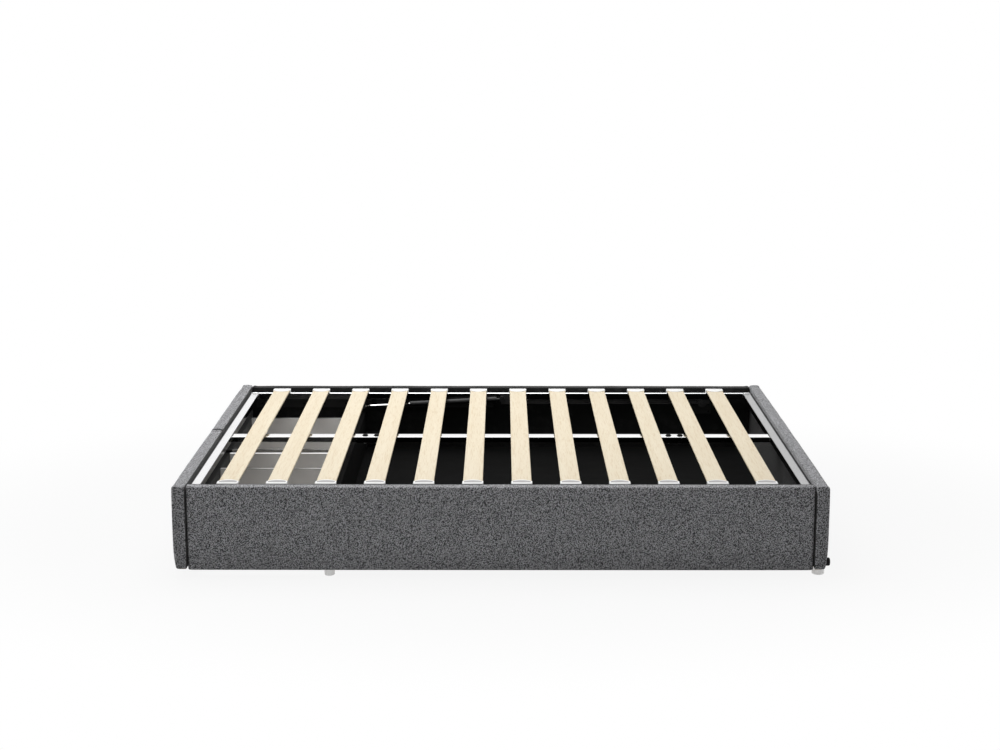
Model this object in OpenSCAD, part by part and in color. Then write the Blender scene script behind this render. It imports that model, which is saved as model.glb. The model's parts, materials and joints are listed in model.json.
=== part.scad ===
// Upholstered tatami platform bed. A low fabric-covered frame holds two drawers in its
// foot end and a lined storage box, under a steel deck with twelve slats that lifts on
// two gas struts. X runs from the foot end (-X, drawers) to the head end (+X), Y from the
// front side rail (-Y) to the back one (+Y), Z is up and the floor is z = 0.

/* [Mattress space] */
// Clear length between the drawer fronts and the head panel
clear_l = 2042; // [1960:1:2200]
// Clear width between the two side rails
clear_w = 1534; // [1400:1:1900]

/* [Heights] */
// Underside of the side rails above the floor
rail_lift = 25; // [20:1:40]
// Height of a side rail
rail_h = 283; // [275:1:340]
// Underside of the head panel and drawer fronts above the rails' underside
end_lift = 6; // [2:1:12]
// Top of the head panel and drawer fronts above the rails' top
end_rise = 2; // [0:1:10]

/* [Upholstered panels] */
// Thickness of the wooden boards inside the panels
board_t = 22; // [16:1:28]
// Foam and fabric on the outer face
pad_t = 22; // [14:1:32]
// Fabric on the inner face
wrap_t = 2; // [1:0.5:4]
// Foam and fabric over the top edge of a board
top_pad = 6; // [4:1:10]
// Round of the outer edges
pad_round = 12; // [8:1:13]
// Round of the inner edges
inner_round = 4; // [2:0.5:5]
// How far the outer face falls back at its bottom
bottom_crown = 8; // [2:0.5:9]
// How far the outer face falls back at its top
top_crown = 1; // [0.5:0.5:8]
// How far the outer face falls back at its two ends
end_crown = 2; // [1:0.5:4]
// Gap between two upholstered panels that meet
panel_gap = 2; // [1:0.5:4]

/* [Deck frame] */
// Width of the perimeter tubes
tube_w = 30; // [25:1:40]
// Height of the perimeter tubes
tube_h = 26; // [24:1:36]
// Wall of the steel tubes
tube_wall = 1.5; // [1:0.1:2.5]
// Round of the steel tubes' corners
tube_round = 3; // [2:0.5:4]
// Top of the tubes below the top of the side rails
deck_drop = 15; // [13:1:22]
// Gap between the deck and each side rail
side_gap = 10; // [8:1:14]
// Gap between the deck and the drawer fronts
foot_gap = 7; // [4:1:14]
// Gap between the deck and the head panel
head_gap = 7; // [7:1:16]
// Width of the centre beam
beam_w = 50; // [40:1:60]
// Height of the centre beam
beam_h = 20; // [18:1:24]
// Top of the centre beam below the top of the tubes
beam_drop = 6; // [3:0.5:8]
// Foot side beam joint, from the middle of its gap between two slats
joint_foot_shift = 15; // [-15:1:17]
// Head side beam joint, from the middle of its gap between two slats
joint_head_shift = 7; // [-17:1:17]
// Spacing of the two bolts at a beam joint
joint_bolt_gap = 42; // [36:1:60]
// Length of the plate under a beam joint
joint_plate_l = 100; // [90:1:140]
// Thickness of the plate under a beam joint
joint_plate_t = 3; // [2:0.5:5]
// Diameter of the beam bolts
beam_bolt_d = 8; // [6:1:10]

/* [Slats] */
// Width of a slat
slat_w = 65; // [50:1:70]
// Thickness of a slat
slat_t = 8; // [7:0.5:12]
// Spacing of the slats, centre to centre
slat_pitch = 160; // [140:1:162]
// Middle of the row of slats from the middle of the mattress space
slat_shift = -11; // [-14:1:8]
// Length of a slat cap's closed body
cap_body = 34; // [24:1:40]
// How far a cap's rounded tongue reaches over the slat
cap_tongue = 20; // [12:1:24]
// Plastic under the slat
cap_floor = 2; // [1.5:0.5:4]
// Plastic over the slat
cap_roof = 2.5; // [2:0.1:3]
// Plastic at the sides of the slat
cap_side = 1.6; // [1.2:0.1:2.5]
// Clearance of a slat in its cap
cap_play = 0.3; // [0.1:0.1:0.5]
// How much thinner a slat is at its ends, so that its cap stands less proud
slat_relief = 0.6; // [0.4:0.1:1.5]

/* [Lift] */
// Hinge axis behind the head panel's inner face
hinge_in = 201; // [190:1:240]
// Hinge axis below the deck's tubes
hinge_drop = 16; // [14:1:18]
// Diameter of the hinge pins
pin_d = 12; // [10:1:13]
// Radial clearance of a pin in its bore
pin_play = 0.05; // [0.02:0.01:0.1]
// Length of a lift arm past the strut's pivot
arm_past = 5; // [5:1:30]
// Length of a lift arm on the head side of its hinge
arm_tail = 30; // [24:1:50]
// Width of a lift arm
arm_w = 22; // [16:1:24]
// Sheet thickness of a lift arm
arm_wall = 2.5; // [2:0.5:4]
// Strut pivot on the rail, on the foot side of the hinge
strut_reach = 1380; // [1340:1:1395]
// Strut pivot on the rail, below the hinge axis
strut_drop = 10; // [4:1:14]
// Strut pivot on the arm, on the foot side of the hinge
strut_arm = 815; // [800:1:830]
// Strut pivot on the arm, above the hinge axis
strut_rise = 20; // [14:1:24]
// Diameter of a strut's rod
rod_d = 10; // [8:1:12]
// Diameter of a strut's cylinder
strut_d = 22; // [20:1:24]
// Wall of a strut's cylinder
strut_wall = 2; // [1.5:0.1:3]
// Start of the cylinder from the rail pivot with the deck down
rod_shown = 190; // [150:1:200]
// Room behind the piston with the deck down
rod_room = 16.8; // [6:0.1:40]
// Diameter of the eyes at a strut's ends
eye_d = 22; // [20:1:24]
// Thickness of the eyes at a strut's ends
eye_t = 12; // [8:1:12]
// Diameter of the strut pivots
stud_d = 8; // [6:1:9]

/* [Storage box] */
// Height of the floor boards' underside above the side rails' underside
floor_lift = 25; // [20:1:40]
// Thickness of the floor boards
floor_t = 9; // [6:1:12]
// Width of the wooden cleats under the floor
cleat_w = 20; // [15:1:30]
// Width of the steel joist under the floor
joist_w = 40; // [30:1:50]
// Thickness of the cross panel between drawers and storage
cross_t = 18; // [15:1:22]
// Gap between the cross panel and the deck
cross_gap = 53; // [50:1:90]

/* [Drawers] */
// Depth of the drawer bay behind the drawer fronts
bay_d = 452; // [400:1:470]
// Space behind a closed drawer
bay_rear_gap = 7; // [4:1:20]
// Width of a drawer box
box_w = 535; // [480:1:600]
// Height of a drawer box
box_h = 167; // [120:1:175]
// Thickness of a drawer box's walls
box_t = 12; // [9:1:15]
// Thickness of a drawer box's inner front wall
box_front_t = 30; // [12:1:40]
// Middle of a drawer's partition from the box's inner side
partition_in = 233; // [180:1:300]
// Thickness of a drawer's bottom
box_floor_t = 6; // [4:1:9]
// Gap between the foot crossbar and a drawer box
box_lift = 7; // [4:1:15]
// Side space that a runner takes
runner_gap = 13; // [12:0.5:14]
// Underside of the runners above the drawer box's underside
runner_rise = 52; // [30:1:80]
// Height of a runner's channel
runner_h = 34; // [28:1:45]
// Sheet thickness of a runner's channel
runner_wall = 1.5; // [1:0.1:2]
// Clearance of the sliding bar in its channel
runner_play = 0.4; // [0.2:0.1:0.6]
// Thickness of the divider and the runner boards
divider_t = 18; // [15:1:22]
// Height of the divider and the runner boards
divider_h = 162; // [130:1:170]
// Width of the foot crossbar
crossbar_w = 30; // [25:1:40]
// Height of the foot crossbar
crossbar_h = 25; // [20:1:30]

/* [Feet and bumpers] */
// Diameter of the small glides
glide_d = 34; // [26:1:38]
// Diameter of the head panel's feet
foot_d = 41; // [34:1:42]
// Middle of the rails' glides out from their boards' inner sides
rail_foot_out = 3; // [1:1:8]
// Head panel's feet in from the panel's inner face
head_foot_gap = 0.5; // [0.5:0.5:4]
// Middle of the head panel's outer feet in from the side rails
head_foot_in = 12; // [4:1:40]
// Middle of the crossbar's outer feet in from the side rails
crossbar_foot_in = 170; // [60:1:300]
// Diameter of the wall bumpers
bumper_d = 27; // [20:1:30]
// How far the wall bumpers stand proud of the head panel
bumper_proud = 9; // [4:1:16]

/* [Hidden] */
$fn = 48;

slat_count = 12;
hair = 0.3;                 // small gap between parts of different bodies
over = 1;                   // how far a cutter runs past a face

// The origin is under the middle of everything, wall bumpers included.
mid_x = -bumper_proud / 2;
foot_x = mid_x - clear_l / 2;
head_x = mid_x + clear_l / 2;
side_y = clear_w / 2;
panel_t = wrap_t + board_t + pad_t;
out_y = side_y + panel_t;

rail_l = clear_l - 2 * panel_gap;
rail_top = rail_lift + rail_h;
end_bottom = rail_lift + end_lift;
end_top = rail_top + end_rise;
end_h = end_top - end_bottom;
end_wrap = wrap_t + 1;

// Deck frame
deck_top = rail_top - deck_drop;
deck_bottom = deck_top - tube_h;
deck_y = side_y - side_gap;
deck_foot_x = foot_x + foot_gap;
deck_head_x = head_x - head_gap;
tube_in_y = deck_y - tube_w;
slat_bottom = deck_top + cap_floor;
slat_top = slat_bottom + slat_t;
cap_wall = 3;               // end wall of a slat cap
slat_end_y = deck_y - cap_wall - 2 * cap_play;
bolt_play = 0.2;            // radial clearance of bolts in sheet metal

// Lift: the hinge, the strut's pivot on the rail (foot) and its pivot on the arm (head)
hinge_x = head_x - hinge_in;
hinge_z = deck_bottom - hinge_drop;
arm_inset = 4;              // arm's outer side in from the tube's outer side
arm_out_y = deck_y - arm_inset;
arm_in_y = arm_out_y - arm_w;
arm_below = 4;              // underside of the arm's channel below the hinge axis
arm_bottom = hinge_z - arm_below;
ear_r = 18;                 // round of the arm's ear at the hinge
lug_t = 4;                  // plate that carries the strut on the arm
strut_clear = 1;            // gap between that plate and the strut's cylinder
strut_y = tube_in_y - lug_t - strut_clear - strut_d / 2;
strut_foot = [hinge_x - strut_reach, hinge_z - strut_drop];
strut_head = [hinge_x - strut_arm, hinge_z + strut_rise];
arm_reach = strut_arm + arm_past;
strut_span = strut_head - strut_foot;
strut_len = norm(strut_span);
strut_tilt = atan2(strut_span[1], strut_span[0]);
lift_open = 30;             // opening of the deck in degrees
plate_t = 4;                // wall plates of hinges and strut brackets

// Storage box and drawer bay
floor_z = rail_lift + floor_lift;
cross_x = foot_x + bay_d;
cross_h = deck_bottom - cross_gap - rail_lift;
store_x = cross_x + cross_t;
crossbar_inset = 9;         // crossbar in from the drawer fronts
crossbar_lift = 3;          // crossbar above the side rails' underside
crossbar_x = foot_x + crossbar_inset;
crossbar_z = rail_lift + crossbar_lift;
crossbar_top = crossbar_z + crossbar_h;
box_z = crossbar_top + box_lift;
box_in_y = divider_t / 2 + runner_gap;
box_out_y = box_in_y + box_w;
runner_board_y = box_out_y + runner_gap;
box_l = bay_d - bay_rear_gap;
runner_z = box_z + runner_rise;
runner_end = 2;             // channel in from each end of its board
runner_x = crossbar_x + runner_end;
runner_l = cross_x - runner_x - runner_end;
bumper_inset = 38;          // bumpers in from the head panel's ends
bumper_rise = 16;           // bumpers above the head panel's underside
bumper_y = out_y - bumper_inset;
bumper_z = end_bottom + bumper_rise;

// Points of an arc from angle a0 to a1
function arc(cx, cy, r, a0, a1, n = 5) =
    [for (i = [0:n]) let (a = a0 + (a1 - a0) * i / n) [cx + r * cos(a), cy + r * sin(a)]];

// Section of an upholstered panel: x is the thickness from the flat inner face, y the
// height. The outer face falls back by drop0 at its foot and by drop1 at its top, as the
// fourth power of the distance from its middle.
function pad_outline(t, h, r_in, r_out, drop0, drop1, n = 10) = concat(
    arc(r_in, r_in, r_in, 180, 270),
    arc(t - drop0 - r_out, r_out, r_out, 270, 360),
    [for (i = [1:n - 1]) let (u = 2 * i / n - 1)
        [t - (u < 0 ? drop0 : drop1) * pow(u, 4), h / 2 + u * (h / 2 - r_out)]],
    arc(t - drop1 - r_out, h - r_out, r_out, 0, 90),
    arc(r_in, h - r_in, r_in, 90, 180)
);

module mirrored() {
    children();
    mirror([0, 1, 0]) children();
}

module to_front() {
    mirror([0, 1, 0]) children();
}

module rounded_square(w, h, r) {
    translate([r, 0]) square([w - 2 * r, h]);
    translate([0, r]) square([w, h - 2 * r]);
    for (x = [r, w - r], y = [r, h - r]) translate([x, y]) circle(r);
}

// A straight tube along X from the origin, closed at both ends
module tube_x(l, w, h) {
    difference() {
        rotate([90, 0, 90]) linear_extrude(l) rounded_square(w, h, tube_round);
        translate([tube_wall, tube_wall, tube_wall])
            cube([l - 2 * tube_wall, w - 2 * tube_wall, h - 2 * tube_wall]);
    }
}

// A straight tube along Y from the origin
module tube_y(l, w, h) {
    mirror([0, 1, 0]) rotate([0, 0, -90]) tube_x(l, w, h);
}

// An upholstered panel along X, centred, standing on z = 0 with its inner face on y = 0
module pad_form(l, h) {
    intersection() {
        translate([-l / 2, 0, 0]) rotate([90, 0, 90]) linear_extrude(l)
            polygon(pad_outline(panel_t, h, inner_round, pad_round, bottom_crown, top_crown));
        linear_extrude(h)
            polygon([for (p = pad_outline(panel_t, l, inner_round, pad_round, end_crown,
                end_crown)) [p[1] - l / 2, p[0]]]);
    }
}

// The cover of a panel, open underneath for its board
module pad_cover(l, h) {
    difference() {
        pad_form(l, h);
        translate([-l / 2 + end_wrap, wrap_t, -over])
            cube([l - 2 * end_wrap, board_t, h - top_pad + over]);
    }
}

module pad_board(l, h) {
    translate([-l / 2 + end_wrap, wrap_t, 0]) cube([l - 2 * end_wrap, board_t, h - top_pad]);
}

// ---- Fasteners of the fixed frame: one list of bolts, used also to cut their holes ----

bracket_leg = 55;
bracket_t = 3;
bracket_h = 55;
bracket_lift = 10;          // brackets above the storage floor
bracket_z = floor_z + floor_t + bracket_lift;
bolt_d = 8;
bolt_head_d = 14;
bolt_head_t = 4;
bolt_grip = 16;             // how deep a bolt reaches into a board
bolt_end = 4;               // wood left behind a bolt in the cross panel
bolt_in = 32;               // bolts' distance from the corner
wood_play = 0.1;            // radial clearance of bolts in wood
long_shank = bracket_t + wrap_t + bolt_grip;
short_shank = bracket_t + cross_t - bolt_end;

// A bolt along X with its head on the -X side; x = 0 is the bracket's free face
module bolt_x(play, shank) {
    translate([-bolt_head_t, 0, 0]) rotate([0, 90, 0])
        cylinder(d = bolt_head_d + 2 * play, h = bolt_head_t);
    rotate([0, 90, 0]) cylinder(d = bolt_d + 2 * play, h = shank);
}

module bolts_at(heights, play, shank = long_shank) {
    for (z = heights) translate([0, 0, bracket_z + z]) bolt_x(play, shank);
}

module back_frame_bolts(play = 0) {
    levels = [bracket_h * 0.25, bracket_h * 0.75];
    // head corner: into the head panel and into the side rail
    translate([head_x - bracket_t, side_y - bolt_in, 0]) bolts_at(levels, play);
    translate([head_x - bolt_in, side_y - bracket_t, 0]) rotate([0, 0, 90])
        bolts_at(levels, play);
    // cross panel corner: into the side rail
    translate([store_x + bolt_in, side_y - bracket_t, 0]) rotate([0, 0, 90])
        bolts_at(levels, play);
    // cross panel corner: into the cross panel, not through it
    translate([store_x + bracket_t, side_y - bolt_in, 0]) rotate([0, 0, 180])
        bolts_at(levels, play, short_shank);
}

module frame_bolts() {
    color("#3a3a3c") mirrored() back_frame_bolts();
}

module back_corner_bracket(x, turn) {
    difference() {
        translate([x, side_y, bracket_z]) mirror([turn, 0, 0]) mirror([0, 1, 0]) union() {
            cube([bracket_leg, bracket_t, bracket_h]);
            cube([bracket_t, bracket_leg, bracket_h]);
        }
        back_frame_bolts(bolt_play);
    }
}

module corner_brackets() {
    color("#4a4a4d") mirrored() {
        back_corner_bracket(head_x, 1);
        back_corner_bracket(store_x, 0);
    }
}

// ---- Upholstered panels ----

module back_rail_board() {
    color("#b99a6b") difference() {
        translate([mid_x, side_y, rail_lift]) pad_board(rail_l, rail_h);
        back_frame_bolts(wood_play);
    }
}

module back_rail_cover() {
    color("#5d5d61") difference() {
        translate([mid_x, side_y, rail_lift]) pad_cover(rail_l, rail_h);
        back_frame_bolts(wood_play);
    }
}

module front_rail_board() { to_front() back_rail_board(); }
module front_rail_cover() { to_front() back_rail_cover(); }

module bumper_holes(d) {
    mirrored() translate([head_x + wrap_t + board_t, bumper_y, bumper_z]) rotate([0, 90, 0])
        cylinder(d = d, h = pad_t + bumper_proud);
}

module head_panel_board() {
    color("#b99a6b") difference() {
        translate([head_x, 0, end_bottom]) rotate([0, 0, -90]) pad_board(2 * out_y, end_h);
        mirrored() back_frame_bolts(wood_play);
    }
}

module head_panel_cover() {
    color("#5d5d61") difference() {
        translate([head_x, 0, end_bottom]) rotate([0, 0, -90]) pad_cover(2 * out_y, end_h);
        mirrored() back_frame_bolts(wood_play);
        bumper_holes(bumper_d + 2 * hair);
    }
}

// Rubber buttons with a rounded face that keep the head panel off the wall
module wall_bumpers() {
    dome = 4;
    color("#161616") mirrored()
        translate([head_x + wrap_t + board_t, bumper_y, bumper_z]) rotate([0, 90, 0])
            rotate_extrude() union() {
                square([bumper_d / 2 - dome, pad_t + bumper_proud]);
                square([bumper_d / 2, pad_t + bumper_proud - dome]);
                translate([bumper_d / 2 - dome, pad_t + bumper_proud - dome])
                    intersection() { circle(dome); square(dome); }
            }
}

// ---- Storage box ----

module cross_panel() {
    color("#202022") difference() {
        translate([cross_x, -side_y, rail_lift]) cube([cross_t, clear_w, cross_h]);
        mirrored() back_frame_bolts(wood_play);
    }
}

module storage_floor_back() {
    color("#1d1d1f") translate([store_x + hair, hair, floor_z])
        cube([head_x - store_x - 2 * hair, side_y - 2 * hair, floor_t]);
}

module storage_floor_front() { to_front() storage_floor_back(); }

module floor_joist() {
    color("#2a2a2c") translate([store_x, -joist_w / 2, rail_lift])
        tube_x(head_x - cleat_w - store_x, joist_w, floor_lift);
}

module floor_cleats() {
    color("#a98b5e") {
        mirrored() translate([store_x, side_y - cleat_w, rail_lift])
            cube([head_x - store_x, cleat_w, floor_lift]);
        translate([head_x - cleat_w, -side_y + cleat_w + hair, end_bottom])
            cube([cleat_w, clear_w - 2 * (cleat_w + hair), floor_z - end_bottom]);
    }
}

// ---- Drawer bay ----

module foot_crossbar() {
    color("#2a2a2c") translate([crossbar_x, -side_y, crossbar_z])
        tube_y(clear_w, crossbar_w, crossbar_h);
}

module drawer_divider() {
    color("#8f8d8b") translate([crossbar_x, -divider_t / 2, crossbar_top])
        cube([cross_x - crossbar_x, divider_t, divider_h]);
}

module back_runner_board() {
    color("#202022") translate([crossbar_x, runner_board_y, crossbar_top])
        cube([cross_x - crossbar_x, divider_t, divider_h]);
}

module front_runner_board() { to_front() back_runner_board(); }

// Channel with its web on y = 0, open towards +Y
module runner_channel() {
    depth = runner_gap - 4;
    difference() {
        cube([runner_l, depth, runner_h]);
        translate([-over, runner_wall, runner_wall])
            cube([runner_l + 2 * over, depth, runner_h - 2 * runner_wall]);
    }
}

// The bar that slides in the channel and carries the drawer
module runner_bar() {
    lip = runner_wall + runner_play;
    translate([0, lip, lip]) cube([box_l - 8, runner_gap - lip, runner_h - 2 * lip]);
}

module runner_tracks() {
    color("#b8babc") mirrored() {
        translate([runner_x, divider_t / 2, runner_z]) runner_channel();
        translate([runner_x, runner_board_y, runner_z]) mirror([0, 1, 0]) runner_channel();
    }
}

module back_drawer_slides() {
    color("#d5d7d9") {
        translate([foot_x + 4, divider_t / 2, runner_z]) runner_bar();
        translate([foot_x + 4, runner_board_y, runner_z]) mirror([0, 1, 0]) runner_bar();
    }
}

module front_drawer_slides() { to_front() back_drawer_slides(); }

front_w = out_y - panel_gap;

module back_drawer_board() {
    color("#b99a6b") translate([foot_x, panel_gap + front_w / 2, end_bottom])
        rotate([0, 0, 90]) pad_board(front_w, end_h);
}

module back_drawer_cover() {
    color("#5d5d61") translate([foot_x, panel_gap + front_w / 2, end_bottom])
        rotate([0, 0, 90]) pad_cover(front_w, end_h);
}

// Two sides, a rear wall, the inner front wall that meets the padded front, and a
// partition that stands on the bottom
module back_drawer_box() {
    across = box_w - 2 * box_t;
    color("#a09d9a") {
        for (y = [box_in_y, box_out_y - box_t])
            translate([foot_x, y, box_z]) cube([box_l, box_t, box_h]);
        translate([foot_x, box_in_y + box_t, box_z]) cube([box_front_t, across, box_h]);
        translate([foot_x + box_l - box_t, box_in_y + box_t, box_z])
            cube([box_t, across, box_h]);
        translate([foot_x + box_front_t, box_in_y + partition_in - box_t / 2,
            box_z + box_floor_t])
            cube([box_l - box_front_t - box_t, box_t, box_h - box_floor_t]);
    }
}

module back_drawer_bottom() {
    color("#97948f") translate([foot_x + box_front_t, box_in_y + box_t, box_z])
        cube([box_l - box_front_t - box_t, box_w - 2 * box_t, box_floor_t]);
}

module front_drawer_board() { to_front() back_drawer_board(); }
module front_drawer_cover() { to_front() back_drawer_cover(); }
module front_drawer_box() { to_front() back_drawer_box(); }
module front_drawer_bottom() { to_front() back_drawer_bottom(); }

// ---- Feet ----

// A glide with a rounded lower edge
module glide(d, h) {
    r = 5;
    rotate_extrude() union() {
        square([d / 2 - r, h]);
        translate([0, r]) square([d / 2, h - r]);
        translate([d / 2 - r, r]) circle(r);
    }
}

module glide_feet() {
    rail_foot_y = side_y + wrap_t + rail_foot_out;
    head_foot_x = head_x + head_foot_gap + foot_d / 2;
    head_foot_y = side_y - head_foot_in;
    crossbar_foot_y = side_y - crossbar_foot_in;
    color("#ededeb") {
        // under the side rails, beside the cross panel
        mirrored() translate([cross_x + cross_t / 2, rail_foot_y, 0]) glide(glide_d, rail_lift);
        // under the head panel
        for (y = [-1, 0, 1]) translate([head_foot_x, y * head_foot_y, 0])
            glide(foot_d, end_bottom);
        // under the floor joist
        for (x = [0.1, 0.5, 0.9]) translate([store_x + x * (head_x - store_x), 0, 0])
            glide(glide_d, rail_lift);
        // under the foot crossbar
        for (y = [-1, 0, 1]) translate([crossbar_x + crossbar_w / 2, y * crossbar_foot_y, 0])
            glide(crossbar_w - 2, crossbar_z);
    }
}

// ---- Fixed parts of the lift ----

ledge_w = 30;
ledge_t = 3.5;
ledge_leg = 42;
ledge_top = deck_bottom - hair;

module ledge(x0, x1) {
    translate([x0, side_y - ledge_w, ledge_top - ledge_t]) cube([x1 - x0, ledge_w, ledge_t]);
    translate([x0, side_y - ledge_t, ledge_top - ledge_leg])
        cube([x1 - x0, ledge_t, ledge_leg]);
}

// Steel angles on the side rails, on which the closed deck rests
module rail_ledges() {
    clear_of_front = 20;
    clear_of_strut = 50;
    clear_of_arm = 30;
    color("#2c2c2e") mirrored() {
        ledge(foot_x + clear_of_front, strut_foot[0] - clear_of_strut);
        ledge(strut_foot[0] + clear_of_strut, hinge_x - arm_reach - clear_of_arm);
    }
}

boss_d = 22;
pin_over = 0.5;             // how far a pin passes the piece that turns on it
pin_rim = 6;                // how much wider a pin's head is than the pin
pin_head_t = 3;

// Wall plate, spacer, pin and the pin's head, for the hinge of a lift arm
module back_hinge_plate() {
    half = 40;
    drop = 52;
    pin_l = side_y - arm_in_y + pin_over;
    translate([hinge_x - half, side_y - plate_t, hinge_z - drop])
        cube([2 * half, plate_t, drop]);
    translate([hinge_x, side_y, hinge_z]) rotate([90, 0, 0]) {
        cylinder(r = half / 2, h = plate_t);
        cylinder(d = boss_d, h = side_y - arm_out_y - hair);
        cylinder(d = pin_d, h = pin_l);
        translate([0, 0, pin_l]) cylinder(d = pin_d + pin_rim, h = pin_head_t);
    }
}

module hinge_plates() {
    color("#34343a") mirrored() back_hinge_plate();
}

module back_strut_bracket() {
    half = 30;
    plate_below = 20;
    plate_h = 36;
    reach = side_y - strut_y;
    stud_l = reach + eye_t / 2 + pin_over;
    translate([strut_foot[0] - half, side_y - plate_t, strut_foot[1] - plate_below])
        cube([2 * half, plate_t, plate_h]);
    translate([strut_foot[0], side_y, strut_foot[1]]) rotate([90, 0, 0]) {
        cylinder(d = boss_d, h = reach - eye_t / 2 - hair);
        cylinder(d = stud_d, h = stud_l);
        translate([0, 0, stud_l]) cylinder(d = stud_d + pin_rim, h = pin_head_t);
    }
}

module strut_brackets() {
    color("#34343a") mirrored() back_strut_bracket();
}

// ---- Deck ----

module back_side_tube() {
    color("#d9dadb") translate([deck_foot_x, tube_in_y, deck_bottom])
        tube_x(deck_head_x - deck_foot_x, tube_w, tube_h);
}

module front_side_tube() { to_front() back_side_tube(); }

module end_tube(x) {
    translate([x, -tube_in_y, deck_bottom]) tube_y(2 * tube_in_y, tube_w, tube_h);
}

module foot_end_tube() { color("#f0f0f0") end_tube(deck_foot_x); }
module head_end_tube() { color("#d0d0d0") end_tube(deck_head_x - tube_w); }

beam_top = deck_top - beam_drop;
beam_z = beam_top - beam_h;
beam_x0 = deck_foot_x + tube_w;
// The joints lie between slats 3 and 4, and between slats 10 and 11
beam_joints = [slat_x(3.5) + joint_foot_shift, slat_x(10.5) + joint_head_shift];
washer_t = 1;
nut_t = 6;
head_clear = 2;             // beam bolts' heads below the slats

module beam_bolt_places() {
    for (x = beam_joints, s = [-0.5, 0.5]) translate([x + s * joint_bolt_gap, 0, 0])
        children();
}

// Beam with the two joint plates welded under it
module center_beam() {
    color("#e9eaeb") difference() {
        union() {
            translate([beam_x0, -beam_w / 2, beam_z])
                tube_x(deck_head_x - tube_w - beam_x0, beam_w, beam_h);
            for (x = beam_joints)
                translate([x - joint_plate_l / 2, -beam_w * 0.4, beam_z - joint_plate_t])
                    cube([joint_plate_l, beam_w * 0.8, joint_plate_t]);
        }
        beam_bolt_places() translate([0, 0, beam_z - joint_plate_t - over])
            cylinder(d = beam_bolt_d + 2 * bolt_play, h = beam_h + joint_plate_t + 2 * over);
    }
}

// Bolt with washer and round head above the beam, clear of the slats, and a nut below
module beam_bolts() {
    nut_z = beam_z - joint_plate_t - nut_t;
    head_top = slat_bottom - head_clear;
    color("#3c3c3e") beam_bolt_places() {
        translate([0, 0, nut_z]) cylinder(d = beam_bolt_d, h = head_top - nut_z);
        translate([0, 0, nut_z]) cylinder(d = beam_bolt_d * 1.7, h = nut_t);
        translate([0, 0, beam_top]) cylinder(d = beam_bolt_d * 2, h = washer_t);
        translate([0, 0, beam_top]) cylinder(d = beam_bolt_d * 1.6, h = head_top - beam_top);
    }
}

// ---- Slats and their caps ----

function slat_x(i) = mid_x + slat_shift + (i - (slat_count + 1) / 2) * slat_pitch;

// A slat, planed a little thinner at its two ends, from just before the caps' tongues
module slat(i) {
    relief_y = deck_y - cap_body - cap_tongue - 1;
    color("#efe2c6") difference() {
        translate([slat_x(i) + slat_w / 2, -slat_end_y, slat_bottom])
            rotate([90, 0, 180]) linear_extrude(2 * slat_end_y)
                rounded_square(slat_w, slat_t, 2.5);
        mirrored() translate([slat_x(i) - slat_w / 2 - over, relief_y, slat_top - slat_relief])
            cube([slat_w + 2 * over, slat_end_y - relief_y + over, slat_relief + over]);
    }
}

cap_w = slat_w + 2 * (cap_side + cap_play);

// Closed body and rounded tongue of one cap; y = 0 is its outer end, x = 0 its middle
module slat_cap() {
    chord = cap_w - 6;
    bow_r = (chord * chord / 4 + cap_tongue * cap_tongue) / (2 * cap_tongue);
    top_z = cap_floor + slat_t - slat_relief + cap_play;
    difference() {
        translate([-cap_w / 2, -cap_body, 0]) cube([cap_w, cap_body, top_z + cap_roof]);
        translate([-slat_w / 2 - cap_play, -cap_body - over, cap_floor])
            cube([slat_w + 2 * cap_play, cap_body + over - cap_wall, top_z - cap_floor]);
    }
    translate([0, 0, top_z]) linear_extrude(cap_roof - 1) intersection() {
        translate([0, bow_r - cap_body - cap_tongue]) circle(bow_r, $fn = 64);
        translate([-cap_w / 2, -cap_body - cap_tongue]) square([cap_w, cap_tongue]);
    }
}

module back_slat_caps() {
    color("#f2f2f1") for (i = [1:slat_count]) translate([slat_x(i), deck_y, deck_top])
        slat_cap();
}

module front_slat_caps() { to_front() back_slat_caps(); }

// ---- Lift arms ----

// Channel under the side tube, solid ear at the hinge and a lug that carries the strut
module back_lift_arm() {
    x0 = hinge_x - arm_reach;
    x1 = hinge_x + arm_tail;
    lug = 48;                               // length of the solid end that carries the lug
    lug_l = lug - 6;
    lug_h = deck_top - arm_bottom - 2;      // its plate ends just below the tube's top
    color("#c9cbcd") difference() {
        union() {
            difference() {
                translate([x0, arm_in_y, arm_bottom])
                    cube([x1 - x0, arm_w, deck_bottom - arm_bottom]);
                translate([x0 + lug, arm_in_y - over, arm_bottom + arm_wall])
                    cube([arm_reach - lug - ear_r, arm_w - arm_wall + over,
                        deck_bottom - arm_bottom - 2 * arm_wall]);
            }
            intersection() {
                translate([hinge_x, arm_out_y, hinge_z]) rotate([90, 0, 0])
                    cylinder(r = ear_r, h = arm_w);
                translate([hinge_x - ear_r, arm_in_y, hinge_z - ear_r])
                    cube([2 * ear_r, arm_w, deck_bottom - hinge_z + ear_r]);
            }
            translate([x0, tube_in_y - lug_t, arm_bottom])
                cube([lug, arm_in_y - tube_in_y + lug_t, deck_bottom - arm_bottom]);
            translate([x0, tube_in_y - lug_t, arm_bottom]) cube([lug_l, lug_t, lug_h]);
        }
        translate([hinge_x, arm_out_y + over, hinge_z]) rotate([90, 0, 0])
            cylinder(d = pin_d + 2 * pin_play, h = arm_w + 2 * over);
    }
}

module front_lift_arm() { to_front() back_lift_arm(); }

// ---- Gas struts, drawn along +X from the rail pivot and then tilted into place ----

module place_back_strut() {
    translate([strut_foot[0], strut_y, strut_foot[1]]) rotate([0, -strut_tilt, 0]) children();
}

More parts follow.
